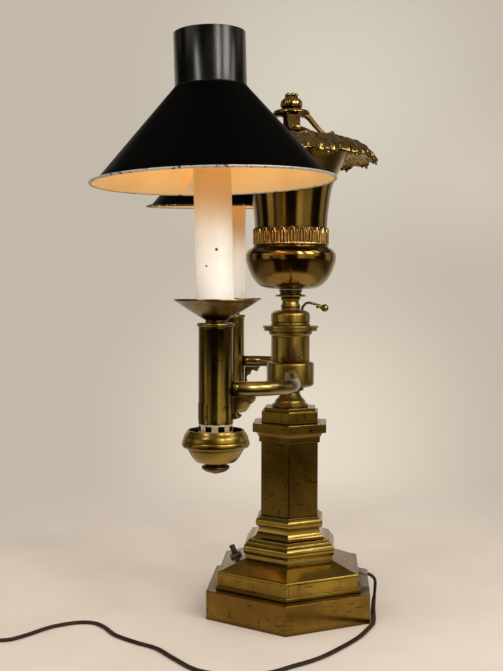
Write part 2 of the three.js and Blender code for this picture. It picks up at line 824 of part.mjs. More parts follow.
function addBurner({ name, side, candle: candleLength, lean, shadeShift, shadeTip }) {
  const stand = new THREE.Group();
  stand.position.set(side * arm.span, -arm.reach, 0);
  lamp.add(stand);
  // The candle stands on the pan. The right one leans forward a little.
  const leaning = new THREE.Group();
  leaning.position.set(0, 0, candleFoot + candle.radius * Math.sin(lean));
  leaning.rotation.x = lean;
  stand.add(leaning);

  addMesh(
    stand,
    `${name}_burner_tube`,
    tube(tubeFoot, tubeTop, burner.radius, burner.radius - burner.wall),
    brass(),
  );
  addMesh(
    stand,
    `${name}_burner_cap`,
    turn([
      at(cap.hole, capFoot),
      ...roll(burner.radius, capFoot, capTop, cap.radius - burner.radius),
      at(cap.hole, capTop),
    ]),
    brass(),
  );
  addMesh(stand, `${name}_air_gallery`, galleryGeometry(), brass());

  addMesh(
    stand,
    `${name}_drip_pan`,
    turn(
      [
        at(0, panFoot - pan.studLength),
        at(pan.studRadius, panFoot - pan.studLength),
        at(pan.studRadius, panFoot),
        at(pan.collarRadius, panFoot),
        at(pan.collarRadius, panBowl),
        at(half(pan.collarRadius + pan.floorRadius), panBowl + pan.height * panKneeShare),
        at(pan.floorRadius, panBowl + pan.height * panFlareShare),
        at(pan.radius, panLip),
        at(pan.lipRadius, panTop - pan.wall),
        at(pan.lipRadius, panTop),
        at(pan.radius, panLip + pan.wall),
        at(pan.floorRadius + pan.wall, panFloor),
        at(0, panFloor),
      ],
      wideSides,
    ),
    brass(),
  );

  addMesh(
    leaning,
    `${name}_candle_cover`,
    tube(0, candleLength, candle.radius, candle.radius - candle.wall),
    ivory(),
  );

  const socketTop = candleLength - socket.below;
  const socketFoot = socketTop - socket.height;
  addMesh(
    leaning,
    `${name}_socket`,
    turn(
      [
        at(0, 0),
        at(socket.stem, 0),
        at(socket.stem, socketFoot),
        at(socket.radius, socketFoot),
        at(socket.radius, socketTop),
        at(socket.bore, socketTop),
        at(socket.bore, socketTop - socket.depth),
        at(0, socketTop - socket.depth),
      ],
      thinSides,
    ),
    porcelain(),
  );

  const bulbFoot = socketTop - socket.depth + seatGap;
  const glassFoot = bulbFoot + bulb.below;
  const bulbTop = bulbFoot + bulb.length;
  addMesh(
    leaning,
    `${name}_bulb`,
    turn(
      [
        at(0, bulbFoot),
        at(bulb.base, bulbFoot),
        at(bulb.base, glassFoot),
        at(bulb.radius, glassFoot + bulb.radius - bulb.base),
        at(bulb.radius, bulbTop - bulb.radius),
        ...quarter(at(bulb.radius, bulbTop - bulb.radius), at(0, bulbTop), false).slice(1),
      ],
      thinSides,
    ),
    warmGlass(),
  );

  // The spider's ring lies on the candle, a little off its middle. The left shade sits crooked.
  const shadeSeat = new THREE.Group();
  shadeSeat.position.set(0, shadeShift, candleLength + seatGap + candle.radius * Math.sin(shadeTip));
  shadeSeat.rotation.y = shadeTip;
  leaning.add(shadeSeat);
  const beadMiddle = at(shade.radius - shade.rimBead, shadeFoot + shade.rimBead);
  const rolledEdge = [];
  for (let i = 0; i <= arcSteps; i++) {
    const angle = -Math.PI + (Math.PI * i) / arcSteps;
    rolledEdge.push(
      at(beadMiddle.x + shade.rimBead * Math.cos(angle), beadMiddle.y + shade.rimBead * Math.sin(angle)),
    );
  }
  addMesh(
    shadeSeat,
    `${name}_shade`,
    turn(
      [
        ...rolledEdge,
        at(shade.flareRadius, shadeFoot + shade.flareHeight),
        at(shade.chimneyRadius, coneTop),
        at(shade.chimneyRadius, chimneyTop),
        at(shade.chimneyRadius - shade.wall, chimneyTop),
        at(shade.chimneyRadius - shade.wall, coneTop - shade.wall),
        at(shade.flareRadius - shade.wall, shadeFoot + shade.flareHeight - half(shade.wall)),
      ],
      wideSides,
    ),
    blackPaint(),
  );
  addMesh(shadeSeat, `${name}_shade_spider`, spiderGeometry(), steel());

  addMesh(
    stand,
    `${name}_drip_cup`,
    turn([
      at(cup.studHole, cupFoot),
      ...outlineFrom(cupShares, cup.baseRadius, cup.height, cupFoot),
      ...outlineFrom(cupInnerShares, cup.baseRadius, cup.height, cupFoot),
      at(cupCollar + cup.collarWall, cupFoot + cup.floor),
      at(cupCollar + cup.collarWall, cupFoot + cup.floor + cup.collarRise),
      at(cupCollar, cupFoot + cup.floor + cup.collarRise),
      at(cupCollar, cupFoot + cup.floor),
      at(cup.studHole, cupFoot + cup.floor),
    ]),
    brass(),
  );

  const finialTop = cupFoot - seatGap;
  addMesh(
    stand,
    `${name}_cup_finial`,
    turn(
      [
        at(0, finialTop - finial.height),
        ...outlineFrom(finialShares, finial.radius, finial.height, finialTop),
        at(finial.neck, finialTop - finial.neckHeight),
        at(finial.neck, finialTop),
        at(finial.studRadius, finialTop),
        at(finial.studRadius, finialTop + finial.studLength),
        at(0, finialTop + finial.studLength),
      ],
      thinSides,
    ),
    brownBronze(),
  );
}

for (const one of burners) {
  addArm(one.side, one.name);
  addEscutcheon(one.side, one.name);
  addBurner(one);
}

// Font: it stands in the receiver on its dome
const domeFoot = ringTop + seatGap;
const domeTop = domeFoot + dome.height;
const valveOffset = neck.radius + valve.rod + fitGap * 2;
const domeGeometry = turn(
  [
    at(0, domeFoot),
    at(dome.radius, domeFoot),
    at(dome.radius, domeFoot + dome.side),
    ...quarter(at(dome.radius, domeFoot + dome.side), at(dome.topRadius, domeTop), false).slice(1),
    at(0, domeTop),
  ],
  wideSides,
);
const valveHole = rodRound(domeFoot - overrun, domeTop + overrun, valve.rod + fitGap, thinSides);
addMesh(lamp, "font_dome", cut(domeGeometry, valveHole.translate(0, valveOffset, 0)), brass());

const spigotTop = domeFoot - seatGap;
const spigotRadius = receiverBore - slideGap;
addMesh(
  lamp,
  "font_spigot",
  tube(spigotTop - spigot.length, spigotTop, spigotRadius, spigotRadius - spigot.wall),
  brass(),
);

const neckShares = [
  [1, 0],
  [1, 0.04],
  [0.92, 0.1],
  [1, 0.2],
  [0.9, 0.3],
  [0.86, 0.42],
  [1, 0.5],
  [1, 0.56],
  [0.92, 0.6],
];
const neckCollarShares = [
  [0.78, 0.75],
  [0.68, 0.78],
  [0.7, 0.86],
  [0.75, 0.92],
  [0.75, 1],
];
const discLowShare = 0.66; // where the neck's disc starts and ends, in shares of its height
const discHighShare = 0.71;
const neckFoot = domeTop + seatGap;
const fontNeckTop = neckFoot + neck.height;
addMesh(
  lamp,
  "font_neck",
  turn([
    at(neck.bore, neckFoot),
    ...outlineFrom(neckShares, neck.radius, neck.height, neckFoot),
    at(neck.discRadius, neckFoot + neck.height * discLowShare),
    at(neck.discRadius, neckFoot + neck.height * discHighShare),
    ...outlineFrom(neckCollarShares, neck.discRadius, neck.height, neckFoot),
    at(neck.bore, fontNeckTop),
  ]),
  brass(),
);

const bowlShares = [
  [0.27, 0],
  [0.52, 0.02],
  [0.71, 0.11],
  [0.87, 0.31],
  [0.97, 0.56],
  [1, 0.71],
  [0.975, 0.83],
  [0.9, 0.92],
];
const bowlFoot = fontNeckTop + seatGap;
const bowlTop = bowlFoot + bowl.height;
const bowlOuter = smoothOutline(bowlShares, bowl.radius, bowl.height, 9, bowlFoot);
const bowlHollow = {
  radius: bowl.radius - bowl.wall,
  height: bowl.height - bowl.wall,
  foot: bowlFoot + bowl.wall,
};
const bowlInner = smoothOutline(bowlShares, bowlHollow.radius, bowlHollow.height, 5, bowlHollow.foot);
addMesh(
  lamp,
  "font_bowl",
  turn(
    [
      at(neck.bore, bowlFoot),
      ...bowlOuter,
      at(bowl.mouth + band.astragal, bowlTop - band.astragal * 2),
      at(bowl.mouth + band.astragal, bowlTop),
      at(bowl.mouth, bowlTop),
      ...bowlInner.reverse().slice(0, -1),
      at(neck.bore, bowlHollow.foot),
    ],
    wideSides,
  ),
  brass(),
);

const vaseShares = [
  [0.57, 0],
  [0.573, 0.11],
  [0.577, 0.175],
  [0.59, 0.3],
  [0.621, 0.46],
  [0.655, 0.58],
  [0.697, 0.65],
  [0.763, 0.745],
  [0.812, 0.81],
  [0.858, 0.87],
  [0.92, 0.93],
  [1, 1],
];
const vaseFoot = bowlTop + seatGap;
const vaseTop = vaseFoot + vase.height;
const vaseOuter = outlineFrom(vaseShares, vase.lipRadius, vase.height, vaseFoot);
const vaseInner = vaseOuter.map((p) => at(p.x - vase.wall, p.y));
addMesh(lamp, "font_vase", turn([...vaseOuter, ...vaseInner.reverse()], wideSides), brass());

// Gilt band of upright leaves round the foot of the vase
const bandBeadShare = 0.14; // the height of the plain bead under the leaves, in shares of the band
const bandFaceShare = 0.1;
const bandTipShare = 0.12; // how far the edge drops between two leaves
const bandInner = vaseOuter[2].x + fitGap;
const bandLow = vaseFoot;
const bandHigh = bandLow + band.height;
const bandGeometry = turn(
  [
    at(bandInner, bandLow),
    at(band.radius, bandLow),
    at(band.radius, bandLow + band.height * bandBeadShare),
    at(band.radius, bandHigh),
    at(bandInner, bandHigh),
  ],
  band.leaves * 4,
);
ripple(bandGeometry, (angle, radius, height) => {
  const leaf = Math.abs(Math.cos(half(angle * band.leaves)));
  const face = radius > bandInner + seatGap && height > bandLow + band.height * bandFaceShare;
  const depth = face ? band.relief * (1 - leaf) : 0;
  const tip = height > bandHigh - seatGap ? band.height * bandTipShare * (1 - leaf) : 0;
  return { radius: Math.max(radius - depth, bandInner + (face ? seatGap : 0)), height: height - tip };
});
addMesh(lamp, "leaf_band", bandGeometry, giltBrass());

// Drooping rim of sixteen turned-down leaves
const rimUnder = vaseTop + seatGap;
const rimSeatShare = 0.81; // the height of the rim where it rests on the vase's lip
const rimInsetShare = 0.35; // how far the underside steps in, in shares of the thickness
const rimTopShares = [
  [0.43, 1],
  [0.47, 1.06],
  [0.62, 0.955],
  [0.75, 0.82],
  [0.88, 0.55],
  [0.96, 0.31],
  [1, 0.08],
];
const rimLift = rimUnder + rim.thick - rim.drop * rimSeatShare;
const rimOuter = outlineFrom(rimTopShares, rim.radius, rim.drop, rimLift);
const rimInner = rimOuter.slice(2).map((p) => at(p.x - rim.thick * rimInsetShare, p.y - rim.thick));
const ledgeTopHeight = rimOuter[0].y - rim.ledge;
const rimGeometry = turn(
  [
    at(rim.inner, ledgeTopHeight),
    at(rimOuter[0].x, ledgeTopHeight),
    ...rimOuter,
    ...rimInner.reverse(),
    at(rimOuter[1].x, ledgeTopHeight - rim.thick),
    at(rim.inner, ledgeTopHeight - rim.thick),
  ],
  rim.leaves * 4,
);
ripple(rimGeometry, (angle, radius, height) => {
  const leaf = Math.abs(Math.cos(half(angle * rim.leaves)));
  const out = Math.max(0, (radius - rim.curlStart) / (rim.radius - rim.curlStart));
  const between = out * (1 - leaf);
  return { radius: radius - rim.notch * between, height: height + rim.notchRise * between * out };
});
addMesh(lamp, "leaf_rim", rimGeometry, brass());

const lidFoot = ledgeTopHeight + seatGap;
const lidDome = smoothOutline(
  [
    [1, 0],
    [0.88, 0.14],
    [0.65, 0.48],
    [0.36, 0.85],
    [0, 1],
  ],
  lid.radius - lid.edge,
  lid.height,
  arcSteps,
  lidFoot + lid.thick,
);
addMesh(
  lamp,
  "font_lid",
  turn([at(0, lidFoot), at(lid.radius, lidFoot), at(lid.radius, lidFoot + lid.thick), ...lidDome], wideSides),
  brass(),
);

// Crown: four scroll brackets rise from the rim to a drooping disc
const crownFoot = rimOuter[1].y + seatGap;
const crownTop = crownFoot + crown.height;
const scrollShares = [
  [1, 0.06],
  [0.91, 0],
  [0.83, 0.03],
  [0.71, 0.2],
  [0.57, 0.46],
  [0.39, 0.86],
  [0.25, 1.01],
];
const scrollFoot = crownFoot + half(crown.thick);
const scrollPoints = scrollShares.map(
  ([out, up]) => new THREE.Vector3(out * crown.footRadius, 0, scrollFoot + up * crown.height),
);
const scrollSection = new THREE.Shape([
  at(-half(crown.width), -half(crown.thick)),
  at(half(crown.width), -half(crown.thick)),
  at(half(crown.width), half(crown.thick)),
  at(-half(crown.width), half(crown.thick)),
]);
const scrolls = [];
for (let i = 0; i < crown.brackets; i++) {
  const scroll = alongPath(scrollSection, new THREE.CatmullRomCurve3(scrollPoints), crown.steps);
  scrolls.push(scroll.rotateZ(crown.turn + (2 * Math.PI * i) / crown.brackets));
}
const discShares = [
  [0.5, -0.1],
  [0.86, 0],
  [0.98, 0.1],
  [1, 0.35],
  [0.9, 0.7],
  [0.62, 0.95],
];
const crownDisc = turn(
  [
    at(0, crownTop - crown.thick),
    ...outlineFrom(discShares, crown.discRadius, crown.discHeight, crownTop),
    at(0, crownTop + crown.discHeight),
  ],
  roundSides,
);
addMesh(lamp, "crown", join(crownDisc, ...scrolls), darkBrass());

const budFoot = crownTop + crown.discHeight + seatGap;
const petalFoot = budFoot + bud.height;
const petalTop = petalFoot + bud.petalHeight;
const budNeckShare = 0.6; // the radius where a ball of the bud starts and ends
const budGrooveShare = 0.1; // how deep the grooves between the lobes are
const budBall = (radius, low, high) => roll(radius * budNeckShare, low, high, radius * (1 - budNeckShare));
const budGeometry = turn(
  [
    at(0, budFoot),
    ...budBall(bud.radius, budFoot, petalFoot),
    ...budBall(bud.petalRadius, petalFoot, petalTop).slice(1),
    at(0, petalTop),
  ],
  bud.lobes * 3,
);
ripple(budGeometry, (angle, radius, height) => {
  const lobe = Math.abs(Math.cos(half(angle * bud.lobes)));
  return { radius: radius * (1 - (1 - lobe) * budGrooveShare), height };
});
addMesh(lamp, "bud_finial", budGeometry, darkBrass());

// Valve rod: up out of the dome, then back over it to a ball
const valveFoot = domeFoot + valve.foot;
const valveShares = [
  [0, 0],
  [0, 0.67],
  [0.03, 0.82],
  [0.2, 1],
  [0.5, 0.95],
  [0.83, 0.82],
];
const ballDropShare = 0.3; // how far the ball hangs below the rod's end, in shares of its radius
const valvePoints = valveShares.map(
  ([out, up]) => new THREE.Vector3(0, valveOffset + out * valve.reach, valveFoot + up * valve.rise),
);
const valveEnd = valvePoints[valvePoints.length - 1];
const valveSection = roundSection(valve.rod, hexSides);
const rodGeometry = alongPath(valveSection, new THREE.CatmullRomCurve3(valvePoints), thinSides);
const ball = new THREE.SphereGeometry(valve.ball, tubeSides, hexSides);
ball.translate(0, valveEnd.y + half(valve.ball), valveEnd.z - valve.ball * ballDropShare);
const collarHalf = half(valve.collarLength);
const ballCollar = rodRound(-collarHalf, collarHalf, valve.collar, thinSides).rotateX(half(Math.PI));
ballCollar.translate(0, valveEnd.y - valve.ball - collarHalf, valveEnd.z + valve.rod);
addMesh(lamp, "valve_rod", join(rodGeometry, ballCollar, ball), brass());

// Push switch in the sloping top of the stepped base
const nutLow = seatGap;
const nutHigh = nutLow + lever.nutHeight;
const buttonBore = lever.buttonRadius + fitGap;
const bushingHole = rodRound(nutLow - overrun, nutHigh + overrun, lever.bushing + fitGap, thinSides);
const nutBlank = turnHex([
  at(0, nutLow),
  at(lever.nutCorner, nutLow),
  at(lever.nutCorner, nutHigh),
  at(0, nutHigh),
]);
addMesh(switchSeat, "switch_nut", cut(nutBlank, bushingHole), steel());
const bodyTop = -slopeWall - seatGap;
addMesh(
  switchSeat,
  "switch_body",
  turn(
    [
      at(0, bodyTop - lever.bodyDepth),
      at(lever.body, bodyTop - lever.bodyDepth),
      at(lever.body, bodyTop),
      at(lever.bushing, bodyTop),
      at(lever.bushing, nutHigh),
      at(buttonBore, nutHigh),
      at(buttonBore, -buttonDepth),
      at(0, -buttonDepth),
    ],
    thinSides,
  ),
  brownPlastic(),
);
addMesh(
  switchSeat,
  "switch_button",
  rodRound(buttonFoot - buttonDepth, nutHigh + lever.buttonRise, lever.buttonRadius, thinSides),
  darkBrass(),
);

// Cord gland, a bushing that sags a little, in the back of the stepped base
addMesh(
  glandSeat,
  "cord_gland",
  turn(
    [
      at(0, -step.wall),
      at(gland.radius, -step.wall),
      at(gland.radius, gland.length - gland.mouth),
      at(gland.radius - gland.mouth, gland.length),
      at(0, gland.length),
    ],
    thinSides,
  ),
  greyPlastic(),
);

// Cord: out of the gland, down to the table, forward past the base, and away to the left of the front
const cordRoute = [
  [4.8, 83.4, 39],
  [4.9, 84.4, 38.7],
  [5, 88.2, 36.7],
  [5.1, 90.9, 33.3],
  [5.2, 91.6, 29],
  [5.7, 90.9, 18],
  [9, 89.6, 10],
  [16, 88.5, 4.9],
  [26, 87.7, 2.7],
  [40, 86.6, 2.4],
  [58, 83.8, 2.4],
  [76, 76.8, 2.4],
  [99.5, 66, 2.4],
  [126.5, 48.5, 2.4],
  [157, 25, 2.4],
  [178, 0.2, 2.4],
  [196, -24, 2.4],
  [201, -55, 2.4],
  [190, -86, 2.4],
  [161.4, -109.6, 2.4],
  [136, -128, 2.4],
  [118, -152, 2.4],
  [99, -173, 2.4],
  [76, -187.5, 2.4],
  [63.2, -201, 2.4],
  [63.2, -219, 2.4],
  [77, -241, 2.4],
  [101, -259.5, 2.4],
  [114.5, -272.5, 2.4],
  [118.2, -288, 2.4],
  [119, -306, 2.4],
  [119.15, -326, 2.4],
  [119.15, -346.9, 2.4],
];
const cordPath = new THREE.CatmullRomCurve3(cordRoute.map((point) => new THREE.Vector3(...point)));
const cordSteps = 78;
const cordSection = roundSection(half(cordWidth), tubeSides - 2);
addMesh(lamp, "cord", alongPath(cordSection, cordPath, cordSteps), brownPlastic());

// The rest of the cord lies in a neat coil of two layers. It spirals in, climbs where it turns back, and
// spirals out again.
const coilPitch = cordWidth + coil.selfGap;
const coilMiddle = half(cordWidth * coil.acrossShare);
const coilOuter = coilMiddle + (coilPitch * coil.turns) / 4;

function coilPoint(turns) {
  const middle = half(coil.turns);
  const radius = coilOuter - coilPitch * (middle - Math.abs(turns - middle));
  const climb = THREE.MathUtils.smoothstep(turns, middle - 1 / 4, middle + 1 / 4);
  const angle = -2 * Math.PI * turns;
  return new THREE.Vector3(
    coil.x + radius * Math.cos(angle),
    coil.y + radius * Math.sin(angle),
    half(cordWidth) + coilPitch * climb,
  );
}

function coilPoints() {
  const steps = coil.turns * coil.loopSteps;
  const points = [];
  for (let i = 0; i <= steps; i++) points.push(coilPoint(i / coil.loopSteps));
  const lead = new THREE.Vector3(0, cordWidth, 0);
  const tail = new THREE.Vector3(0, -coil.tail, 0);
  return [points[0].clone().add(lead), ...points, points[steps].clone().add(tail)];
}

// A tube through a list of points, closed at both ends, one ring of vertices a point.
function tubeThrough(points, radius, sides) {
  const place = [];
  const corners = [];
  const upright = new THREE.Vector3(0, 0, 1);
  points.forEach((point, i) => {
    const before = points[Math.max(i - 1, 0)];
    const after = points[Math.min(i + 1, points.length - 1)];
    const along = after.clone().sub(before).normalize();
    const across = new THREE.Vector3().crossVectors(upright, along).normalize();
    const over = new THREE.Vector3().crossVectors(along, across);
    for (let k = 0; k < sides; k++) {
      const angle = (2 * Math.PI * k) / sides;
      const corner = point.clone().addScaledVector(across, radius * Math.cos(angle));
      corner.addScaledVector(over, radius * Math.sin(angle));
      place.push(corner.x, corner.y, corner.z);
    }
    if (i === 0) return;
    const ringStart = (i - 1) * sides;
    for (let k = 0; k < sides; k++) {
      const a = ringStart + k;
      const b = ringStart + ((k + 1) % sides);
      corners.push(a, b, a + sides, b, b + sides, a + sides);
    }
  });
  const last = (points.length - 1) * sides;
  for (let k = 1; k < sides - 1; k++) {
    corners.push(0, k + 1, k);
    corners.push(last, last + k, last + k + 1);
  }
  const geometry = new THREE.BufferGeometry();
  geometry.setAttribute("position", new THREE.Float32BufferAttribute(place, 3));
  geometry.setIndex(corners);
  geometry.computeVertexNormals();
  return geometry;
}

// The least gap between two loops, on points more than half a loop apart along the cord.
function leastGap(points) {
  const apart = half(coil.loopSteps);
  let least = Infinity;
  for (let i = 1; i < points.length - 1; i++) {
    for (let j = i + apart; j < points.length - 1; j++) {
      least = Math.min(least, points[i].distanceTo(points[j]));
    }
  }
  return least - cordWidth;
}

function lengthOf(points) {
  let length = 0;
  for (let i = 1; i < points.length; i++) length += points[i].distanceTo(points[i - 1]);
  return length;
}

const coilRun = coilPoints();
console.log("least gap between the coil's loops:", leastGap(coilRun).toFixed(2), "mm");
console.log("free cord:", cordPath.getLength().toFixed(0), "mm, coiled:", lengthOf(coilRun).toFixed(0), "mm");
addMesh(lamp, "cord_coil", tubeThrough(coilRun, half(cordWidth), coil.sides), brownPlastic());

// Plug with two flat blades, beside the coil at the end of its tail
const coilEnd = coilRun[coilRun.length - 1];
const plugSection = new THREE.Shape();
const plugSide = half(plugBody.width);
const plugEdge = plugSide - plugBody.round;
plugSection.setFromPoints([
  at(-plugEdge, 0),
  at(plugEdge, 0),
  at(plugSide, -plugBody.round),
  at(plugSide, -plugBody.length + plugBody.round),
  at(plugEdge, -plugBody.length),
  at(-plugEdge, -plugBody.length),
  at(-plugSide, -plugBody.length + plugBody.round),
  at(-plugSide, -plugBody.round),
]);
const plugGeometry = new THREE.ExtrudeGeometry(plugSection, { depth: plugBody.thick, bevelEnabled: false });
plugGeometry.translate(0, 0, -half(plugBody.thick));
const blades = [-1, 1].map((hand) => {
  const blade = new THREE.BoxGeometry(plugBody.bladeThick, plugBody.bladeLength * 2, plugBody.bladeWidth);
  return blade.translate(half(hand * bladeSpacing), -plugBody.length, 0);
});
const plugMesh = addMesh(lamp, "plug", join(plugGeometry, ...blades), brownPlastic());
plugMesh.position.set(coilEnd.x, coilEnd.y - seatGap, coilEnd.z);

export default lamp;
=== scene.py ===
"""A two-arm Argand lamp in aged brass with black cone shades, on a pale table.

Metres, +Z up, front -Y. Sizes of turned work are in millimetres, as (radius, height) outlines.
"""

from math import atan2, cos, degrees, exp, pi, radians, sin, sqrt

import bmesh
import bpy
from mathutils import Matrix, Vector


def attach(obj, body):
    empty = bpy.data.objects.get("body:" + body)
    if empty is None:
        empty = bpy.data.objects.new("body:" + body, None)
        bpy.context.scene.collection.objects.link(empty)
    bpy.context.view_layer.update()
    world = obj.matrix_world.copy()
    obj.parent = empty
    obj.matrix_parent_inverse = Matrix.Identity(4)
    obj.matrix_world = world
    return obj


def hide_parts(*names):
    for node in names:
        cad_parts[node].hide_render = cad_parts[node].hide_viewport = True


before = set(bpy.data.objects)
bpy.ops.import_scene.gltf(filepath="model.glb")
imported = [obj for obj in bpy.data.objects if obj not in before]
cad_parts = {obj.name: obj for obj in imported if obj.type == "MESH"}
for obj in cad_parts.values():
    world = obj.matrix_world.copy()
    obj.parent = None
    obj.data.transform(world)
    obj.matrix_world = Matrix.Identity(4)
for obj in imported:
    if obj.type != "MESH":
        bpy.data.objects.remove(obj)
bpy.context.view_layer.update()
scene = bpy.context.scene
scene.view_settings.view_transform = "Standard"

# Camera. It stands to the right of the lamp, a little above the receiver, and looks at it almost level. Its
# place and lens are fitted to the photo's outlines.
eye_azimuth = radians(-1.178)
eye_distance = 1.074851
eye_height = 0.335276
look_azimuth = radians(1.038)
look_down = radians(2.271)
roll = radians(0.154)
sensor_height = 36
focal_pixels = 1008
frame_width = 503
frame_height = 671


def polar(reach, angle, height=0.0):
    """The point at a reach from the upright axis, turned about it by an angle, at a height."""
    return Vector((reach * cos(angle), reach * sin(angle), height))


forward = -polar(cos(look_down), look_azimuth, sin(look_down))
level_right = forward.cross(Vector((0, 0, 1))).normalized()
level_up = level_right.cross(forward)
right = level_right * cos(roll) + level_up * sin(roll)
up = level_up * cos(roll) - level_right * sin(roll)
eye = polar(eye_distance, eye_azimuth, eye_height)
camera_data = bpy.data.cameras.new("studio_camera")
camera_data.sensor_fit = "VERTICAL"
camera_data.sensor_height = sensor_height
camera_data.lens = focal_pixels / frame_height * sensor_height
camera = bpy.data.objects.new("studio_camera", camera_data)
camera.matrix_world = Matrix((
    (right.x, up.x, -forward.x, eye.x),
    (right.y, up.y, -forward.y, eye.y),
    (right.z, up.z, -forward.z, eye.z),
    (0, 0, 0, 1),
))
scene.collection.objects.link(camera)
scene.camera = camera

# Cord. A thin two-core lamp flex in brown plastic, moulded with a groove down its middle. It droops out of
# the bushing and lies on the table past the base. Its spare length is wound up beside the plug.
mm = 0.001


class Wire:
    """A value in a material, worked out where it is used: sums and products add their own Math nodes."""

    def __init__(self, tree, socket=None):
        self.tree = tree
        self.socket = socket

    def node(self, kind, settings=None, values=None, output=0):
        """Any shader node. Its settings come first, then the values or links of its sockets."""
        made = self.tree.nodes.new("ShaderNode" + kind)
        for key, setting in (settings or {}).items():
            setattr(made, key, setting)
        for key, value in (values or {}).items():
            if isinstance(value, Wire):
                self.tree.links.new(value.socket, made.inputs[key])
            else:
                made.inputs[key].default_value = value
        return Wire(self.tree, made.outputs[output])

    def math(self, operation, *values):
        return self.node("Math", {"operation": operation}, dict(enumerate(values)))

    def __add__(self, other):
        return self.math("ADD", self, other)

    def __rsub__(self, other):
        return self.math("SUBTRACT", other, self)

    def __mul__(self, other):
        return self.math("MULTIPLY", self, other)

    __radd__ = __add__
    __rmul__ = __mul__

    def vector(self, operation, *others, output=0):
        """This vector alone or with others. A length or a distance is output 1."""
        values = dict(enumerate((self, *others)))
        return self.node("VectorMath", {"operation": operation}, values, output)

    def axis(self, which):
        return self.node("SeparateXYZ", None, {0: self}, which)

    def place(self):
        """Where the point lies on the piece, in the piece's own metres."""
        return self.node("TexCoord", output="Object")

    def between(self, low, high):
        """0 below low, 1 above high, and smooth in the middle. It falls where low is the larger."""
        limits = {0: self, 1: low, 2: high, 3: 0.0, 4: 1.0}
        return self.node("MapRange", {"interpolation_type": "SMOOTHSTEP"}, limits)

    def mix(self, first, second):
        """The first colour where this mask is 0, and the second where it is 1."""
        return self.node("Mix", {"data_type": "RGBA"}, {0: self, 6: first, 7: second}, 2)

    def noise(self, scale, detail=3.0, roughness=0.55, stretch=(1, 1, 1)):
        """A soft random cloud with scale features to the metre, squeezed along the axes by stretch."""
        place = self.node("Mapping", None, {"Vector": self.place(), "Scale": stretch})
        values = {"Vector": place, "Scale": scale, "Detail": detail, "Roughness": roughness}
        return self.node("TexNoise", None, values)

    def crevice(self, reach):
        """1 deep in a corner or a joint, and 0 on an open face."""
        open_sky = self.node("AmbientOcclusion", {"samples": 6}, {"Distance": reach}, "AO")
        return 1 - open_sky


def tone(red, green, blue):
    """A colour as it looks, 0 to 255, as the light that it sends back."""
    return tuple((part / 255 / 12.92 if part < 11 else ((part / 255 + 0.055) / 1.055) ** 2.4)
                 for part in (red, green, blue)) + (1,)


def finish_of(name, metallic, colour, roughness, bump=None, bump_depth=0.0, **fixed):
    """One surface finish: what varies is a Wire, and the rest is set on the shader itself."""
    material = bpy.data.materials.new(name)
    material.use_nodes = True
    tree = material.node_tree
    shader = tree.nodes["Principled BSDF"]
    graph = Wire(tree)
    inputs = {"Metallic": metallic, "Base Color": colour(graph), "Roughness": roughness(graph), **fixed}
    if bump:
        inputs["Normal"] = graph.node("Bump", None, {"Height": bump(graph), "Distance": bump_depth})
    for key, value in inputs.items():
        if isinstance(value, Wire):
            tree.links.new(value.socket, shader.inputs[key])
        else:
            shader.inputs[key].default_value = value
    return material


def clouded(name, metallic, first, second, clouds, haze, grain=None, limits=(0.35, 0.7), **fixed):
    """A finish in two tones that drift into each other. Clouds, haze and grain begin with a noise's scale and
    detail. Haze goes on with its swing and its least roughness, and grain with its depth."""
    return finish_of(
        name,
        metallic,
        lambda g: g.noise(*clouds).between(*limits).mix(tone(*first), tone(*second)),
        lambda g: g.noise(*haze[:2]) * haze[2] + haze[3],
        (lambda g: g.noise(*grain[:2])) if grain else None,
        grain[2] if grain else 0.0,
        **fixed,
    )


def in_scene(name, shape, materials):
    """The shape as an object in the scene."""
    mesh = bpy.data.meshes.new(name)
    shape.to_mesh(mesh)
    shape.free()
    for material in materials:
        mesh.materials.append(material)
    made = bpy.data.objects.new(name, mesh)
    scene.collection.objects.link(made)
    return made


def finished(name, shape, materials, nodes=(), ease=0.0, body="stand", slot="brass", crease=32, smooth=True):
    """Makes the piece that stands for some CAD nodes, with its edges eased by a bevel in millimetres."""
    for face in shape.faces:
        face.smooth = smooth
    made = in_scene(name, shape, materials)
    if ease:
        bevel = made.modifiers.new("eased_edges", "BEVEL")
        bevel.width = ease * mm
        bevel.segments = 2
        bevel.limit_method = "ANGLE"
        bevel.angle_limit = radians(crease)
        bevel.harden_normals = smooth
    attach(made, body)
    if nodes:
        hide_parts(*nodes)
    return made


def flowing(points, steps=6):
    """A smooth line through points, in any number of coordinates."""
    knots = [Vector(point) for point in points]
    knots = [knots[0] * 2 - knots[1], *knots, knots[-1] * 2 - knots[-2]]
    line = []
    for a, b, c, d in zip(knots, knots[1:], knots[2:], knots[3:]):
        for step in range(steps):
            t = step / steps
            bend = (a * 2 - b * 5 + c * 4 - d) * t * t + (b * 3 - a - c * 3 + d) * t * t * t
            line.append((b * 2 + (c - a) * t + bend) / 2)
    line.append(knots[-2])
    return line


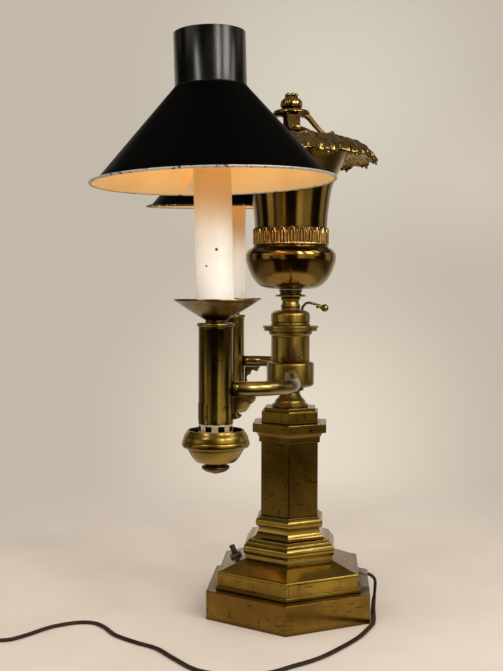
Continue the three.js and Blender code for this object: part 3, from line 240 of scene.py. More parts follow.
def swept(route, section, sizes=None, side=None, settle=0.3):
    """A section, in millimetres, drawn along a route and closed at both ends. It keeps level where it can."""
    shape = bmesh.new()
    corners = [shape.verts.new((x, y, 0)) for x, y in section]
    rim = [shape.edges.new(pair) for pair in zip(corners, corners[1:] + corners[:1])]
    first_rim = rim
    before = None
    for i, point in enumerate(route):
        ahead = Vector(route[min(i + 1, len(route) - 1)])
        along = (ahead - Vector(route[max(i - 1, 0)])).normalized()
        level = Vector((0, 0, 1)).cross(along)
        if side is None:
            side = level.normalized()
        elif level.length > settle:
            side = side.lerp(level.normalized() if level.dot(side) >= 0 else -level.normalized(), settle)
        side = (side - along * side.dot(along)).normalized()
        size = sizes[i] if sizes else 1
        stand = Matrix((side * size, along.cross(side) * size, along)).transposed().to_4x4()
        stand.translation = point
        if before is None:
            bmesh.ops.transform(shape, matrix=stand, verts=corners)
        else:
            grown = bmesh.ops.extrude_edge_only(shape, edges=rim)["geom"]
            corners = [part for part in grown if isinstance(part, bmesh.types.BMVert)]
            rim = [part for part in grown if isinstance(part, bmesh.types.BMEdge)]
            bmesh.ops.transform(shape, matrix=stand @ before.inverted(), verts=corners)
        before = stand
    for end in (first_rim, rim):
        bmesh.ops.edgeloop_fill(shape, edges=end)
    bmesh.ops.recalc_face_normals(shape, faces=shape.faces)
    bmesh.ops.scale(shape, vec=(mm, mm, mm), verts=shape.verts)
    return shape


cord_width = 4.8
cord_height = 3.6
cord_groove = 0.35
cord_drop = 0.7  # the flex is flatter than it is wide, so its middle lies this much lower
cord_sides = 16
cord_hanging = [
    (4.8, 83.4, 39), (4.9, 84.4, 38.7), (5, 88.2, 36.7), (5.1, 90.9, 33.3), (5.2, 91.6, 29), (5.7, 90.9, 18),
    (9, 89.6, 10), (16, 88.5, 4.9), (26, 87.7, 2.7),
]
cord_lying = [
    (40, 86.6), (58, 83.8), (76, 76.8), (99.5, 66), (126.5, 48.5), (157, 25), (178, 0.2), (196, -24),
    (201, -55), (190, -86), (161.4, -109.6), (136, -128), (118, -152), (99, -173), (76, -187.5), (63.2, -201),
    (63.2, -219), (77, -241), (101, -259.5), (114.5, -272.5), (118.2, -288), (119, -306), (119.15, -326),
    (119.15, -346.9),
]
coil_middle = (82.1, -352)
coil_turns = 6
coil_steps = 24
coil_pitch = cord_width + 0.7
coil_inner = cord_width * 6
coil_outer = coil_inner + coil_pitch * coil_turns / 4
coil_tail = 33

coil_route = []
for step in range(coil_turns * coil_steps + 1):
    turned_so_far = step / coil_steps
    from_turnback = turned_so_far - coil_turns / 2
    reach = coil_outer - coil_pitch * (coil_turns / 2 - abs(from_turnback))
    climb = min(max((from_turnback + 1 / 4) * 2, 0), 1)
    climb = climb * climb * (3 - 2 * climb)
    angle = -2 * pi * turned_so_far
    coil_route.append((
        coil_middle[0] + reach * cos(angle),
        coil_middle[1] + reach * sin(angle),
        cord_width / 2 + coil_pitch * climb,
    ))
coil_end = coil_route[-1]
coil_route.append((coil_end[0], coil_end[1] - coil_tail / 2, coil_end[2]))
coil_route.append((coil_end[0], coil_end[1] - coil_tail, coil_end[2]))
cord_route = flowing([*cord_hanging, *((x, y, cord_width / 2) for x, y in cord_lying)], 6)
cord_line = [Vector(point) - Vector((0, 0, cord_drop)) for point in [*cord_route, *coil_route]]

cord_section = []
for step in range(cord_sides):
    angle = 2 * pi * step / cord_sides
    pinch = cord_groove * exp(-((cos(angle) / 0.3) ** 2))
    cord_section.append((cord_width / 2 * cos(angle), (cord_height / 2 - pinch) * sin(angle)))
flex = clouded(
    "brown_flex", 0.0, (32, 18, 9), (50, 30, 16), (60,), (900, 2, 0.2, 0.4), (1400, 2, 0.00005),
    **{"Specular IOR Level": 0.3},
)
cord_shape = swept(cord_line, cord_section)
cord = finished("flex_cord", cord_shape, [flex], ["cord", "cord_coil"], slot="brown_plastic")

# Plug. A moulded two-blade plug in the same plastic, with grip ribs down its sides and flat brass blades.
plug_width = 24
plug_thick = 15
plug_length = 27
plug_corner = 4
rib_count = 4
rib_pitch = 4
rib_width = 1.8
rib_stands_out = 0.5
blade_spacing = 12.7
blade_width = 6.3
blade_thick = 1.5
blade_length = 17


def shifted(x, y, z):
    """A shift in millimetres."""
    return Matrix.Translation((x * mm, y * mm, z * mm))


def bar(low, high):
    """A plain bar between two corners, in millimetres, to be eased, inset or cut."""
    shape = bmesh.new()
    bmesh.ops.create_cube(shape, size=1)
    low, high = Vector(low), Vector(high)
    bmesh.ops.scale(shape, vec=(high - low) * mm, verts=shape.verts)
    bmesh.ops.translate(shape, vec=(high + low) / 2 * mm, verts=shape.verts)
    return shape


def rounded(shape, axis, radius):
    """Rounds the long edges that run along an axis, 0 to 2."""
    edges = [edge for edge in shape.edges if abs(edge.verts[0].co[axis] - edge.verts[1].co[axis]) > mm]
    rounding = {"offset": radius * mm, "segments": 5, "profile": 0.5, "affect": "EDGES", "material": -1}
    bmesh.ops.bevel(shape, geom=edges, **rounding)


def moved(shape, matrix):
    """The whole shape, turned or shifted."""
    bmesh.ops.transform(shape, matrix=matrix, verts=shape.verts)
    return shape


def together(*shapes):
    """Several shapes in one mesh, as they are."""
    whole = shapes[0]
    for shape in shapes[1:]:
        part = bpy.data.meshes.new("part")
        shape.to_mesh(part)
        shape.free()
        whole.from_mesh(part)
        bpy.data.meshes.remove(part)
    return whole


plug_start = shifted(coil_end[0], coil_end[1] - coil_tail - 0.3, coil_end[2])
plug_shape = bar((-plug_width / 2, -plug_length, -plug_thick / 2), (plug_width / 2, 0, plug_thick / 2))
rounded(plug_shape, 2, plug_corner)
for rib in range(rib_count):
    rib_start = -20 + rib * rib_pitch
    for hand in (-1, 1):
        low, high = sorted((hand * (plug_width / 2 - 0.4), hand * (plug_width / 2 + rib_stands_out)))
        grip = bar((low, rib_start, -plug_thick / 3), (high, rib_start + rib_width, plug_thick / 3))
        plug_shape = together(plug_shape, grip)
plug = finished("plug_body", moved(plug_shape, plug_start), [flex], ["plug"], 0.5, slot="brown_plastic")
blade_shape = together(*[
    bar(
        (hand * blade_spacing / 2 - blade_thick / 2, -plug_length - blade_length, -blade_width / 2),
        (hand * blade_spacing / 2 + blade_thick / 2, -plug_length + 2, blade_width / 2),
    )
    for hand in (-1, 1)
])
blade_brass = clouded("blade_brass", 1.0, (196, 170, 104), (150, 120, 66), (300,), (500, 2, 0.2, 0.2))
blades = finished("plug_blades", moved(blade_shape, plug_start), [blade_brass], (), 0.3, slot="brown_plastic")

# Coil tie. A thin strap in the same plastic goes round the wound-up flex and keeps it together.
tie_across = 22.4
tie_high = 9.8
tie_width = 6
tie_corner = 2.4
tie_thick = 0.6
tie_place = shifted(coil_middle[0] - coil_outer - 3, coil_middle[1], 0)
tie_shape = moved(bar((0, -tie_width / 2, 0), (tie_across, tie_width / 2, tie_high)), tie_place)
rounded(tie_shape, 1, tie_corner)
tie_ends = [face for face in tie_shape.faces if abs(face.normal.y) > 0.9]
bmesh.ops.delete(tie_shape, geom=tie_ends, context="FACES_ONLY")
bmesh.ops.solidify(tie_shape, geom=tie_shape.faces, thickness=tie_thick * mm)
tie = finished("coil_tie", tie_shape, [flex], (), 0.1, slot="brown_plastic")

# Table and room. A pale seamless table in front of a pale backdrop. The room behind the camera is dark, with
# lit walls and windows to both sides, and the polished brass shows all of it.
table_light = tone(203, 191, 176)
table_shade = tone(198, 186, 171)
backdrop_tone = tone(195, 185, 170)
backdrop_floor = tone(197, 184, 168)
dark_room = (0.012, 0.009, 0.006, 1)
lit_wall = tone(255, 238, 200)
ceiling = (0.21, 0.175, 0.12, 1)
side_table_reflection = (0.32, 0.27, 0.19, 1)
far_table_reflection = (0.085, 0.07, 0.045, 1)
plain_level = (0.68, 0.68, 0.70, 1)


def seen_at(across, down):
    """The way that the camera looks at a pixel of its frame."""
    aside = right * (across - frame_width / 2) + up * (frame_height / 2 - down)
    return (forward * focal_pixels + aside).normalized()


backdrop_light_pools = [  # middle of each painted pool of light on the backdrop, how far it spreads, its tone and strength
    (seen_at(300, 440), 0.23, tone(236, 224, 206), 0.85),
    (seen_at(330, 105), 0.22, tone(220, 213, 196), 0.8),
    (seen_at(480, 180), 0.10, tone(216, 203, 186), 0.6),
]
glimpses = [  # lit walls: from and to azimuth in degrees, from and to rise, and how bright
    (17, 34, -0.5, 0.5, 1.0), (34, 62, -0.5, 0.4, 0.5), (-76, -56, -0.5, 0.06, 0.75),
    (-48, -30, -0.5, 0.3, 0.3), (98, 120, -0.5, 0.4, 0.55), (-118, -100, -0.5, 0.3, 0.3),
    (-12, 10, 0.3, 0.55, 0.25), (-78, -46, 0.1, 0.36, 1.0), (34, 74, 0.1, 0.36, 0.8),
]


def is_ray(graph, kind):
    """1 for rays that reach a surface that way."""
    return graph.node("LightPath", output=f"Is {kind} Ray")


def is_mirrored(graph):
    """1 for what is seen in polished metal or through glass."""
    return graph.math("MINIMUM", is_ray(graph, "Glossy") + is_ray(graph, "Transmission"), 1.0)


def backdrop_shown(way, low):
    """The backdrop as the camera sees it: a plain tone with soft painted pools of light."""
    shown = low
    for middle, spread, glow, strength in backdrop_light_pools:
        away = way.vector("DISTANCE", middle, output=1)
        shown = (away.between(spread, 0.0) * strength).mix(shown, glow)
    return shown


def room_shown(way):
    """The room as polished brass shows it: dark, with lit walls, and the pale backdrop on its far side."""
    way_x, way_y, way_z = (way.axis(which) for which in range(3))
    azimuth = way.math("ARCTAN2", way_y, way_x) * degrees(1)
    shown = dark_room
    for start, end, low, high, bright in glimpses:
        strip = azimuth.between(start - 2, start + 2) * azimuth.between(end + 2, end - 2)
        strip = strip * way_z.between(low - 0.03, low + 0.03) * way_z.between(high + 0.06, high - 0.06)
        shown = strip.mix(shown, tuple(part * bright for part in lit_wall[:3]) + (1,))
    shown = way_z.between(0.45, 0.8).mix(shown, ceiling)
    behind = way_x.between(-0.5, -0.85) * way_z.between(0.5, 0.3)
    return behind.mix(shown, backdrop_tone)


table_shape = bmesh.new()
bmesh.ops.create_circle(table_shape, cap_ends=True, segments=96, radius=7)
table_material = finish_of(
    "pale_table", 0.0, lambda g: g.noise(9, 3).between(0.3, 0.7).mix(table_light, table_shade), lambda g: 0.8
)
in_scene("table", table_shape, [table_material])
table_tree = table_material.node_tree
on_table = Wire(table_tree)
table_place = on_table.place()
table_far = table_place.vector("LENGTH", output=1)
table_way = table_place.vector("NORMALIZE")
table_way_x = table_way.axis(0)
# Past about 0.3 m from the lamp, the brass sees painted reflection tones instead of the table: a lit tone
# nearer, a dark one further off and toward the camera, the backdrop behind, and the room past 1.3 m.
mirrored_table = table_far.between(0.6, 0.95).mix(side_table_reflection, far_table_reflection)
mirrored_table = table_way_x.between(0.7, 0.58).mix(dark_room, mirrored_table)
mirrored_table = table_way_x.between(-0.45, -0.9).mix(mirrored_table, backdrop_tone)
mirrored_table = table_far.between(1.3, 2.4).mix(mirrored_table, room_shown(table_way))
from_eye = table_place.vector("SUBTRACT", eye).vector("NORMALIZE")
far_shown = is_ray(on_table, "Camera").mix(mirrored_table, backdrop_shown(from_eye, backdrop_floor))
table_faded = is_ray(on_table, "Camera") * table_far.between(0.3, 0.85)
table_mix = {
    0: table_faded + is_mirrored(on_table) * table_far.between(0.27, 0.42),
    1: Wire(table_tree, table_tree.nodes["Principled BSDF"].outputs[0]),
    2: on_table.node("Emission", None, {"Color": far_shown}),
}
table_surface = on_table.node("MixShader", None, table_mix)
table_tree.links.new(table_surface.socket, table_tree.nodes["Material Output"].inputs["Surface"])

world = bpy.data.worlds.new("studio")
scene.world = world
world.use_nodes = True
air = Wire(world.node_tree)
way = air.node("TexCoord", output="Generated")
unmirrored = is_ray(air, "Camera").mix(plain_level, backdrop_shown(way, backdrop_tone))
sky = is_mirrored(air).mix(unmirrored, room_shown(way))
world.node_tree.links.new(sky.socket, world.node_tree.nodes["Background"].inputs["Color"])

lamp_middle = Vector((0, 0, 0.35))
windows = [  # name, azimuth from the camera's side, elevation, distance, width, height, watts, seen in brass
    ("right_window", 24, 31, 1.9, 0.24, 0.8, 9, True),
    ("right_window_2", 51, 31, 1.9, 0.52, 0.8, 12, True),
    ("side_window", 78, 40, 2.1, 0.30, 0.9, 4, True),
    ("left_window", -40, 38, 1.9, 0.26, 0.8, 6, True),
    ("overhead", 20, 80, 2.2, 2.2, 2.2, 15, False),
    ("front", -34, 20, 2.0, 1.4, 1.4, 8, False),
]
for name, window_azimuth, elevation, distance, width, height, watts, shine in windows:
    window_data = bpy.data.lights.new(name, "AREA")
    window_data.shape = "RECTANGLE"
    window_data.size = width
    window_data.size_y = height
    window_data.energy = watts
    window_data.color = tone(255, 250, 242)[:3]
    window = bpy.data.objects.new(name, window_data)
    scene.collection.objects.link(window)
    rise = radians(elevation)
    towards = polar(cos(rise), radians(window_azimuth), sin(rise))
    window.location = lamp_middle + towards * distance
    window.rotation_euler = towards.to_track_quat("Z", "Y").to_euler()
    window.visible_camera = False
    window.visible_glossy = shine

# Pedestal. Six-sided brass castings, stacked on a rod: plinth, stepped base, base moulding, plain shaft,
# capital and cap block. The brass is old and brown, paler where it is handled, and darkened in its corners by
# grime and painted shade.
pedestal_turn = radians(-3.3)
grime_and_shade = (0.022, 0.010, 0.004, 1)
brass_red = (0.16, 0.055, 0.012, 1)


def aged_brass(
    name, light, brown, polish, patch,
    lathe=False, dirt_and_shade=1.3, depth=0.00015, reach=0.006, worn=False, lacquer=0.4,
):
    """Old brass: brown in patches, darkened in its corners by grime and painted shade, with fine pits. Turned
    pieces have lathe rings, and worn ones have red stains and scratches. Light and brown are the colours that
    they send back."""

    def colour(g):
        clouds = g.noise(patch, 4, 0.6).between(0.36, 0.66)
        spots = g.noise(190, 3, 0.65).between(0.62, 0.72) * 0.5
        aged = g.math("MAXIMUM", clouds, spots).mix((*light, 1), (*brown, 1))
        if worn:
            stains = g.noise(14, 4, 0.6, (1, 1, 0.6)).between(0.5, 0.72) * 0.4
            aged = stains.mix(aged, brass_red)
            wiped = g.noise(30, 4, 0.7, (1, 1, 0.12)).between(0.5, 0.75) * 0.3
            aged = wiped.mix(aged, (*brown, 1))
            scratches = g.noise(60, 2, 0.5, (1, 1, 9)).between(0.65, 0.69)
            scratches += g.noise(60, 2, 0.5, (9, 9, 1)).between(0.66, 0.70)
            aged = (scratches * 0.7).mix(aged, grime_and_shade)
        # Corners and joints, found by ambient occlusion, are darkened: partly grime, partly painted shade.
        return g.math("MINIMUM", g.crevice(reach) * dirt_and_shade, 1.0).mix(aged, grime_and_shade)

    def roughness(g):
        dull = g.noise(patch * 1.7, 5, 0.6) * 0.2 + g.noise(500, 2) * 0.05
        return dull + g.crevice(0.005) * 0.3 + (polish - 0.12)

    def surface(g):
        rings = g.noise(900, 2, 0.6, (0.02, 0.02, 1)) * 0.22 if lathe else g.noise(700, 2, 0.6) * 0.1
        return rings + g.noise(60, 3, 0.5) * 0.6

    return finish_of(
        name, 1.0, colour, roughness, surface, depth, **{"Coat Weight": lacquer, "Coat Roughness": 0.14}
    )


def arc(middle, radius, start, end, steps=8):
    """Points round part of a circle, angles in degrees: 0 is outward and 90 is up."""
    line = []
    for step in range(steps + 1):
        angle = radians(start + (end - start) * step / steps)
        line.append((middle[0] + radius[0] * cos(angle), middle[1] + radius[1] * sin(angle)))
    return line


def turned(outline, sides=96, turn=0.0, place=None, closed=True):
    """An outline of (radius, height) in millimetres, turned about the upright axis."""
    shape = bmesh.new()
    line = [shape.verts.new((radius * mm, 0, height * mm)) for radius, height in outline]
    edges = [shape.edges.new(pair) for pair in zip(line, line[1:])]
    if closed and outline[0][0] > 0:
        edges.append(shape.edges.new((line[-1], line[0])))
    spin = {"cent": (0, 0, 0), "axis": (0, 0, 1), "angle": 2 * pi, "steps": sides, "use_merge": True}
    bmesh.ops.spin(shape, geom=line + edges, **spin)
    bmesh.ops.remove_doubles(shape, verts=shape.verts, dist=1e-6)
    bmesh.ops.rotate(shape, matrix=Matrix.Rotation(turn, 3, "Z"), verts=shape.verts)
    if place is not None:
        bmesh.ops.transform(shape, matrix=place, verts=shape.verts)
    bmesh.ops.recalc_face_normals(shape, faces=shape.faces)
    return shape


def turning(name, node, outline, material, ease=0.0, sides=96, place=None, **fitted):
    """A turned piece that stands for a CAD node."""
    return finished(name, turned(outline, sides, 0, place), [material], [node], ease, **fitted)


def cleaned(node):
    """A copy of a CAD node's mesh with its corners joined and its flat faces whole."""
    shape = bmesh.new()
    shape.from_mesh(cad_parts[node].data)
    bmesh.ops.remove_doubles(shape, verts=shape.verts, dist=2e-6)
    bmesh.ops.dissolve_limit(shape, angle_limit=radians(1), verts=shape.verts, edges=shape.edges)
    return shape


def eased(name, node, material, ease, **fitted):
    """A piece in its CAD node's own shape, with its edges eased."""
    return finished(name, cleaned(node), [material], [node], ease, **fitted)


rubbed = {"worn": True, "lacquer": 0.2}
plinth_brass = aged_brass("plinth_brass", (0.25, 0.15, 0.02), (0.165, 0.092, 0.011), 0.22, 22, **rubbed)
step_brass = aged_brass("step_brass", (0.34, 0.225, 0.03), (0.23, 0.14, 0.017), 0.2, 22, **rubbed)
column_brass = aged_brass("column_brass", (0.26, 0.165, 0.024), (0.16, 0.092, 0.012), 0.17, 16, **rubbed)
moulding_brass = aged_brass("moulding_brass", (0.34, 0.235, 0.04), (0.21, 0.13, 0.018), 0.12, 16)
moulding_outline = [
    (47.7, 59.3), (52.2, 59.3), (52.2, 63.5),
    *arc((51.2, 69.2), (3.9, 5.7), -90, 90, 28),
    *arc((48.4, 74.9), (3, 3.2), 0, 90, 12),
    (48.4, 80.1),
    *arc((46.6, 92.1), (9.8, 12), -90, -180, 24),
    *arc((38, 96.4), (2.7, 4.3), -90, 90, 24),
    (36, 100.7), (36, 102.9), (29.9, 102.9), (32.3, 92.1), (43.9, 74.9),
]
capital_outline = [
    (29.4, 181.4), (37, 181.4), (37, 187.6),
    *arc((43.4, 187.6), (5.2, 4.3), 180, 90, 16),
    (44.6, 191.9), (44.6, 201.1), (29.4, 201.1),
]
moulding = turned(moulding_outline, 6, pedestal_turn)
capital = turned(capital_outline, 6, pedestal_turn)
for name, node, shape, material, ease in (
    ("plinth_casting", "plinth", cleaned("plinth"), plinth_brass, 0.7),
    ("stepped_casting", "stepped_base", cleaned("stepped_base"), step_brass, 0.5),
    ("shaft_casting", "column_shaft", cleaned("column_shaft"), column_brass, 0.6),
    ("cap_casting", "cap_block", cleaned("cap_block"), column_brass, 0.5),
    ("moulding_casting", "base_moulding", moulding, moulding_brass, 0.3),
    ("capital_casting", "capital", capital, column_brass, 0.4),
):
    finished(name, shape, [material], [node], ease, smooth=False)

felt = clouded(
    "green_felt", 0.0, (36, 62, 44), (52, 84, 60), (400, 4), (900, 2, 0.1, 0.85), (1500, 3, 0.0003),
    (0.3, 0.7),
)
steel = clouded(
    "dull_steel", 1.0, (140, 136, 128), (96, 88, 78), (80,), (200, 3, 0.3, 0.3), (900, 2, 0.00006)
)


def refinished(node, material):
    """A CAD node whose shape is right gets its finish."""
    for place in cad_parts[node].material_slots:
        place.material = material


refinished("base_felt", felt)
refinished("tie_rod", steel)
refinished("tie_rod_nut", steel)

# Knop. A short turned brass baluster that spreads on the cap block and carries the receiver.
turned_brass = aged_brass("turned_brass", (0.38, 0.26, 0.05), (0.21, 0.13, 0.02), 0.31, 24, True)
knop_outline = [
    (5.2, 217.5), (19, 217.5), (19, 219.8),
    *flowing([(18.2, 220.3), (16.5, 221), (16, 223.4), (12.6, 227.3), (10.5, 231), (10.5, 233.4)], 5),
    (13.4, 234.4), *arc((13.4, 235.6), (1.1, 1.2), -90, 90, 6), (13.2, 237.9), (5.2, 237.9),
]
turning("knop_turning", "baluster_knop", knop_outline, turned_brass, 0.2)

# Receiver. A turned brass cylinder on a wider band. The arms grow out of the band, and the font's spigot
# stands in its bore under a loose ring.
receiver_outline = [
    (5.2, 238.2), *arc((18, 241.9), (7.2, 3.7), -90, 0, 8), (25.2, 262.5),
    *arc((20.5, 262.5), (4.7, 2.6), 0, 90, 6), (20.5, 291.4),
    *arc((22.4, 291.8), (2.2, 2.2), 180, 100, 4), (23, 295), (23, 298), (28.4, 298), (28.4, 300.7),
    (17.6, 300.7), (17.6, 245.2), (5.2, 245.2),
]
ring_outline = [(17.6, 301), (29.6, 301), (29.6, 303.3), (17.6, 303.3)]
turning("receiver_turning", "receiver", receiver_outline, turned_brass, 0.35)
turning("ring_turning", "flange_ring", ring_outline, turned_brass, 0.5)

# Shields. A cast shield with two scrolls is pinned over the root of each arm, in brown bronze.
bronze = aged_brass(
    "brown_bronze", (0.20, 0.095, 0.025), (0.11, 0.048, 0.013), 0.46, 60, dirt_and_shade=1.6, depth=0.0003
)
for side in ("right", "left"):
    eased(f"{side}_shield", f"{side}_escutcheon", bronze, 0.5, slot="brown_bronze", crease=50)

# Arms. Drawn brass tube runs out of a coupling on the receiver's band and round an elbow to the burner. A
# cast leaf bracket hangs under it, behind the burner tube. A leaf wraps the tube's root as a finish alone.
arm_height = 253.1
arm_span = 191.4
arm_reach = 69.4
arm_elbow = 48
arm_radius = 6.6
arm_root = 25.5
arm_leaf_end = 96
tube_overlap = 15.2
collar_outline = [(6.9, 24.6), (7.9, 24.6), (7.9, 28.8), (7.5, 29.5), (6.9, 30)]
tongue_line = [(27.1, 0, 262.2), (27.1, 0, 260.6), (27.1, 0, 256.5), (27.1, 0, 251.4)]
tongue_section = [(-6.4, -1.6), (6.4, -1.6), (6.4, 1.6), (-6.4, 1.6)]
tongue_sizes = [1, 1, 0.86, 0.67]
arm_brass = aged_brass("arm_brass", (0.34, 0.255, 0.08), (0.20, 0.135, 0.034), 0.24, 30)
leaf_brass = aged_brass("leaf_brass", (0.34, 0.22, 0.06), (0.15, 0.09, 0.022), 0.34, 70, False, 1.5, 0.0004)
leaf_gold = aged_brass("leaf_gold", (0.50, 0.33, 0.08), (0.26, 0.15, 0.03), 0.42, 110, False, 1.6, 0.0006)


def circle(radius, sides):
    """A round section to sweep."""
    return [polar(radius, 2 * pi * k / sides).xy for k in range(sides)]


elbow_start = arm_span - arm_elbow
arm_plan = [
    (arm_root, 0), (arm_leaf_end, 0), (elbow_start - 2, 0),
    *arc((elbow_start, -arm_elbow), (arm_elbow, arm_elbow), 90, 0, 8), (arm_span, tube_overlap - arm_reach),
]
for side, hand in (("right", 1), ("left", -1)):
    pipe = swept([(hand * x, y, arm_height) for x, y in arm_plan], circle(arm_radius, 24))
    for face in pipe.faces:
        if abs(face.calc_center_median().x) < arm_leaf_end * mm:
            face.material_index = 1
    finished(f"{side}_arm_pipe", pipe, [arm_brass, leaf_gold], [f"{side}_arm"])
    outward = shifted(0, 0, arm_height) @ Matrix.Rotation(pi / 2, 4, "Y")
    tongue = swept(tongue_line, tongue_section, tongue_sizes, Vector((0, 1, 0)))
    coupling = together(turned(collar_outline, 48, 0, outward), tongue)
    if side == "left":
        moved(coupling, Matrix.Rotation(pi, 4, "Z"))
    finished(f"{side}_coupling", coupling, [leaf_gold], [f"{side}_arm_coupling"], 0.4)
    eased(f"{side}_leaf_bracket", f"{side}_arm_bracket", leaf_brass, 0.7, slot="dark_brass")

# Burner tubes. A drawn brass tube with a rolled cap on top. The slotted gallery under it lets air in round
# the wick. The right tube has a small curved plate low on its front, left bare.
tube_brass = aged_brass("tube_brass", (0.27, 0.19, 0.032), (0.15, 0.095, 0.013), 0.2, 18, worn=True)
pale_metal = clouded(
    "pale_metal", 0.4, (222, 200, 170), (170, 140, 106), (120, 4), (300, 3, 0.2, 0.35), (600, 2, 0.00008)
)
inner_black = clouded("gallery_inner_black", 0.0, (16, 13, 10), (8, 7, 6), (200,), (300, 3, 0.2, 0.7))
tube_outline = [
    (14.1, 222.9), (15.4, 222.9), (15.4, 226.6), (15.25, 227), (15.25, 305.4), (15.4, 305.8), (15.4, 307.6),
    (14.1, 307.6),
]
cap_outline = [
    (5, 307.9), (15.4, 307.9), *arc((15.4, 309.55), (1.3, 1.65), -80, 80, 8), (15.4, 311.2), (5, 311.2),
]
gallery_radius = 15
gallery_wall = 1.3
gallery_rows = [198.2, 216.4, 221.2, 222.6]
gallery_slots = 8
slot_from = 0.27
slot_to = 0.73
burner_stands = {"right": shifted(arm_span, -arm_reach, 0), "left": shifted(-arm_span, -arm_reach, 0)}
for side, stand in burner_stands.items():
    turning(f"{side}_drawn_tube", f"{side}_burner_tube", tube_outline, tube_brass, 0.2, place=stand)
    turning(f"{side}_rolled_cap", f"{side}_burner_cap", cap_outline, turned_brass, 0.2, place=stand)
    gallery = turned([(gallery_radius, height) for height in gallery_rows], closed=False)
    openings = []
    for face in gallery.faces:
        middle = face.calc_center_median()
        share = atan2(middle.y, middle.x) / (2 * pi) * gallery_slots % 1
        if gallery_rows[1] * mm < middle.z < gallery_rows[2] * mm and slot_from < share < slot_to:
            openings.append(face)
    bmesh.ops.delete(gallery, geom=openings, context="FACES")
    bmesh.ops.recalc_face_normals(gallery, faces=gallery.faces)
    bmesh.ops.solidify(gallery, geom=gallery.faces, thickness=gallery_wall * mm)
    bmesh.ops.recalc_face_normals(gallery, faces=gallery.faces)
    # The gallery's inner faces get a near-black finish, so its slots read dark.
    for face in gallery.faces:
        if face.calc_center_median().xy.length < (gallery_radius - 0.4) * mm:
            face.material_index = 1
    gallery = moved(gallery, stand)
    finished(f"{side}_slotted_gallery", gallery, [pale_metal, inner_black], [f"{side}_air_gallery"], 0.15)

plate_radius = 15.5
plate_height = 233.5
plate_section = [(-0.2, -7.5), (0.2, -7.5), (0.2, 7.5), (-0.2, 7.5)]
plate_turns = [radians(-84 + 4 * step) for step in range(16)]
plate_shape = swept([polar(plate_radius, angle, plate_height) for angle in plate_turns], plate_section)
finished("bare_plate", moved(plate_shape, burner_stands["right"]), [tube_brass], (), 0.1, crease=50)

# Drip pans. A spun brass dish on a turned collar, its lip rolled level. The candle stands in it.
pan_brass = aged_brass("pan_brass", (0.29, 0.20, 0.055), (0.15, 0.095, 0.02), 0.3, 40, True)
pan_outline = [
    (0, 305.5), (4.5, 305.5), (4.5, 311.5), (9.3, 311.5), (9.3, 313.7),
    *flowing([(9.4, 313.8), (13.4, 316), (17.8, 318.6), (24, 322.4), (29.4, 326), (33.2, 328.8)], 4),
    (36.4, 330.3), (36.7, 331.2), (36.4, 332.1), (35.2, 331.9),
    *flowing([(32.6, 330.3), (28, 327.2), (22, 323), (19.1, 320.4)], 4), (17.6, 319.7), (0, 319.7),
]
for side, stand in burner_stands.items():
    turning(f"{side}_spun_pan", f"{side}_drip_pan", pan_outline, pan_brass, 0.15, place=stand)

# Candles. A card tube dipped in ivory enamel, chipped here and there, hides a porcelain lampholder on a steel
# stem. The tubular bulb stands in it under the shade. The right candle leans forward a little.
candle_foot = 320.0
candle_radius = 16.6
bulb_radius = 12.4
bulb_length = 92
candles = [  # side, length, lean forward, how far the shade sits off its middle, and how crooked
    ("right", 140.5, radians(1.6), 0.9, 0.0),
    ("left", 152.0, 0.0, 0.5, radians(3.9)),
]
chips = [(0.2077, -0.0680, 0.3748, 0.0012), (0.2070, -0.0769, 0.3605, 0.0009)]


def candle_colour(g):
    clouds = g.noise(30, 3).between(0.35, 0.7).mix(tone(243, 241, 234), tone(236, 233, 223))
    # Near its top the enamel is painted warmer: painted light from the bulb and the lit shade above.
    painted_glow = g.place().axis(2).between(0.388, 0.426).mix(clouds, tone(212, 186, 136))
    rough_edge = g.noise(900, 3) * 0.0012
    chipped = []
    for x, y, z, size in chips:
        away = g.place().vector("DISTANCE", (x, y, z), output=1)
        chipped.append((away + rough_edge).between(size + 0.0010, size + 0.0004))
    return g.math("MAXIMUM", *chipped).mix(painted_glow, tone(58, 46, 38))


enamel = finish_of(
    "ivory_enamel", 0.0, candle_colour, lambda g: g.noise(60, 4) * 0.25 + 0.3,
    lambda g: g.noise(90, 4) + g.noise(800, 2) * 0.1, 0.00025,
)
porcelain = clouded("porcelain", 0.0, (226, 220, 206), (206, 198, 180), (50,), (200, 2, 0.2, 0.15))
glass = clouded(
    "lit_glass", 0.0, (255, 232, 190), (255, 224, 176), (30,), (200, 2, 0.1, 0.2), None, (0.3, 0.7),
    **{"Emission Color": tone(255, 206, 140), "Emission Strength": 6.0},
)
leanings = {}
for side, length, lean, _, _ in candles:
    pivot = candle_foot + candle_radius * sin(lean)
    leaning = burner_stands[side] @ shifted(0, 0, pivot) @ Matrix.Rotation(lean, 4, "X")
    leanings[side] = leaning
    cover = [(15, 0), (16.6, 0), (16.6, length - 0.8), (16.1, length), (15, length)]
    turning(f"{side}_candle", f"{side}_candle_cover", cover, enamel, 0.2, place=leaning, slot="candle_ivory")
    top = length - 5
    holder = [
        (0, 0), (4.85, 0), (4.85, top - 52), (13.4, top - 52), (13.4, top - 20), (12.9, top - 19.4),
        (12.9, top - 17), (13.4, top - 16.4), (13.4, top), (11.8, top), (11.8, top - 24), (0, top - 24),
    ]
    turning(f"{side}_lampholder", f"{side}_socket", holder, porcelain, 0.3, 48, leaning, slot="porcelain")
    foot = top - 24 + 0.3
    shoulder = foot + bulb_length - bulb_radius
    envelope = [
        (0, foot), (11.2, foot), (11.2, foot + 26), (bulb_radius, foot + 27.2), (bulb_radius, shoulder),
        *arc((0, shoulder), (bulb_radius, bulb_radius), 0, 90, 12)[1:],
    ]
    turning(f"{side}_bulb_glass", f"{side}_bulb", envelope, glass, 0.0, 48, leaning, slot="bulb_glass")

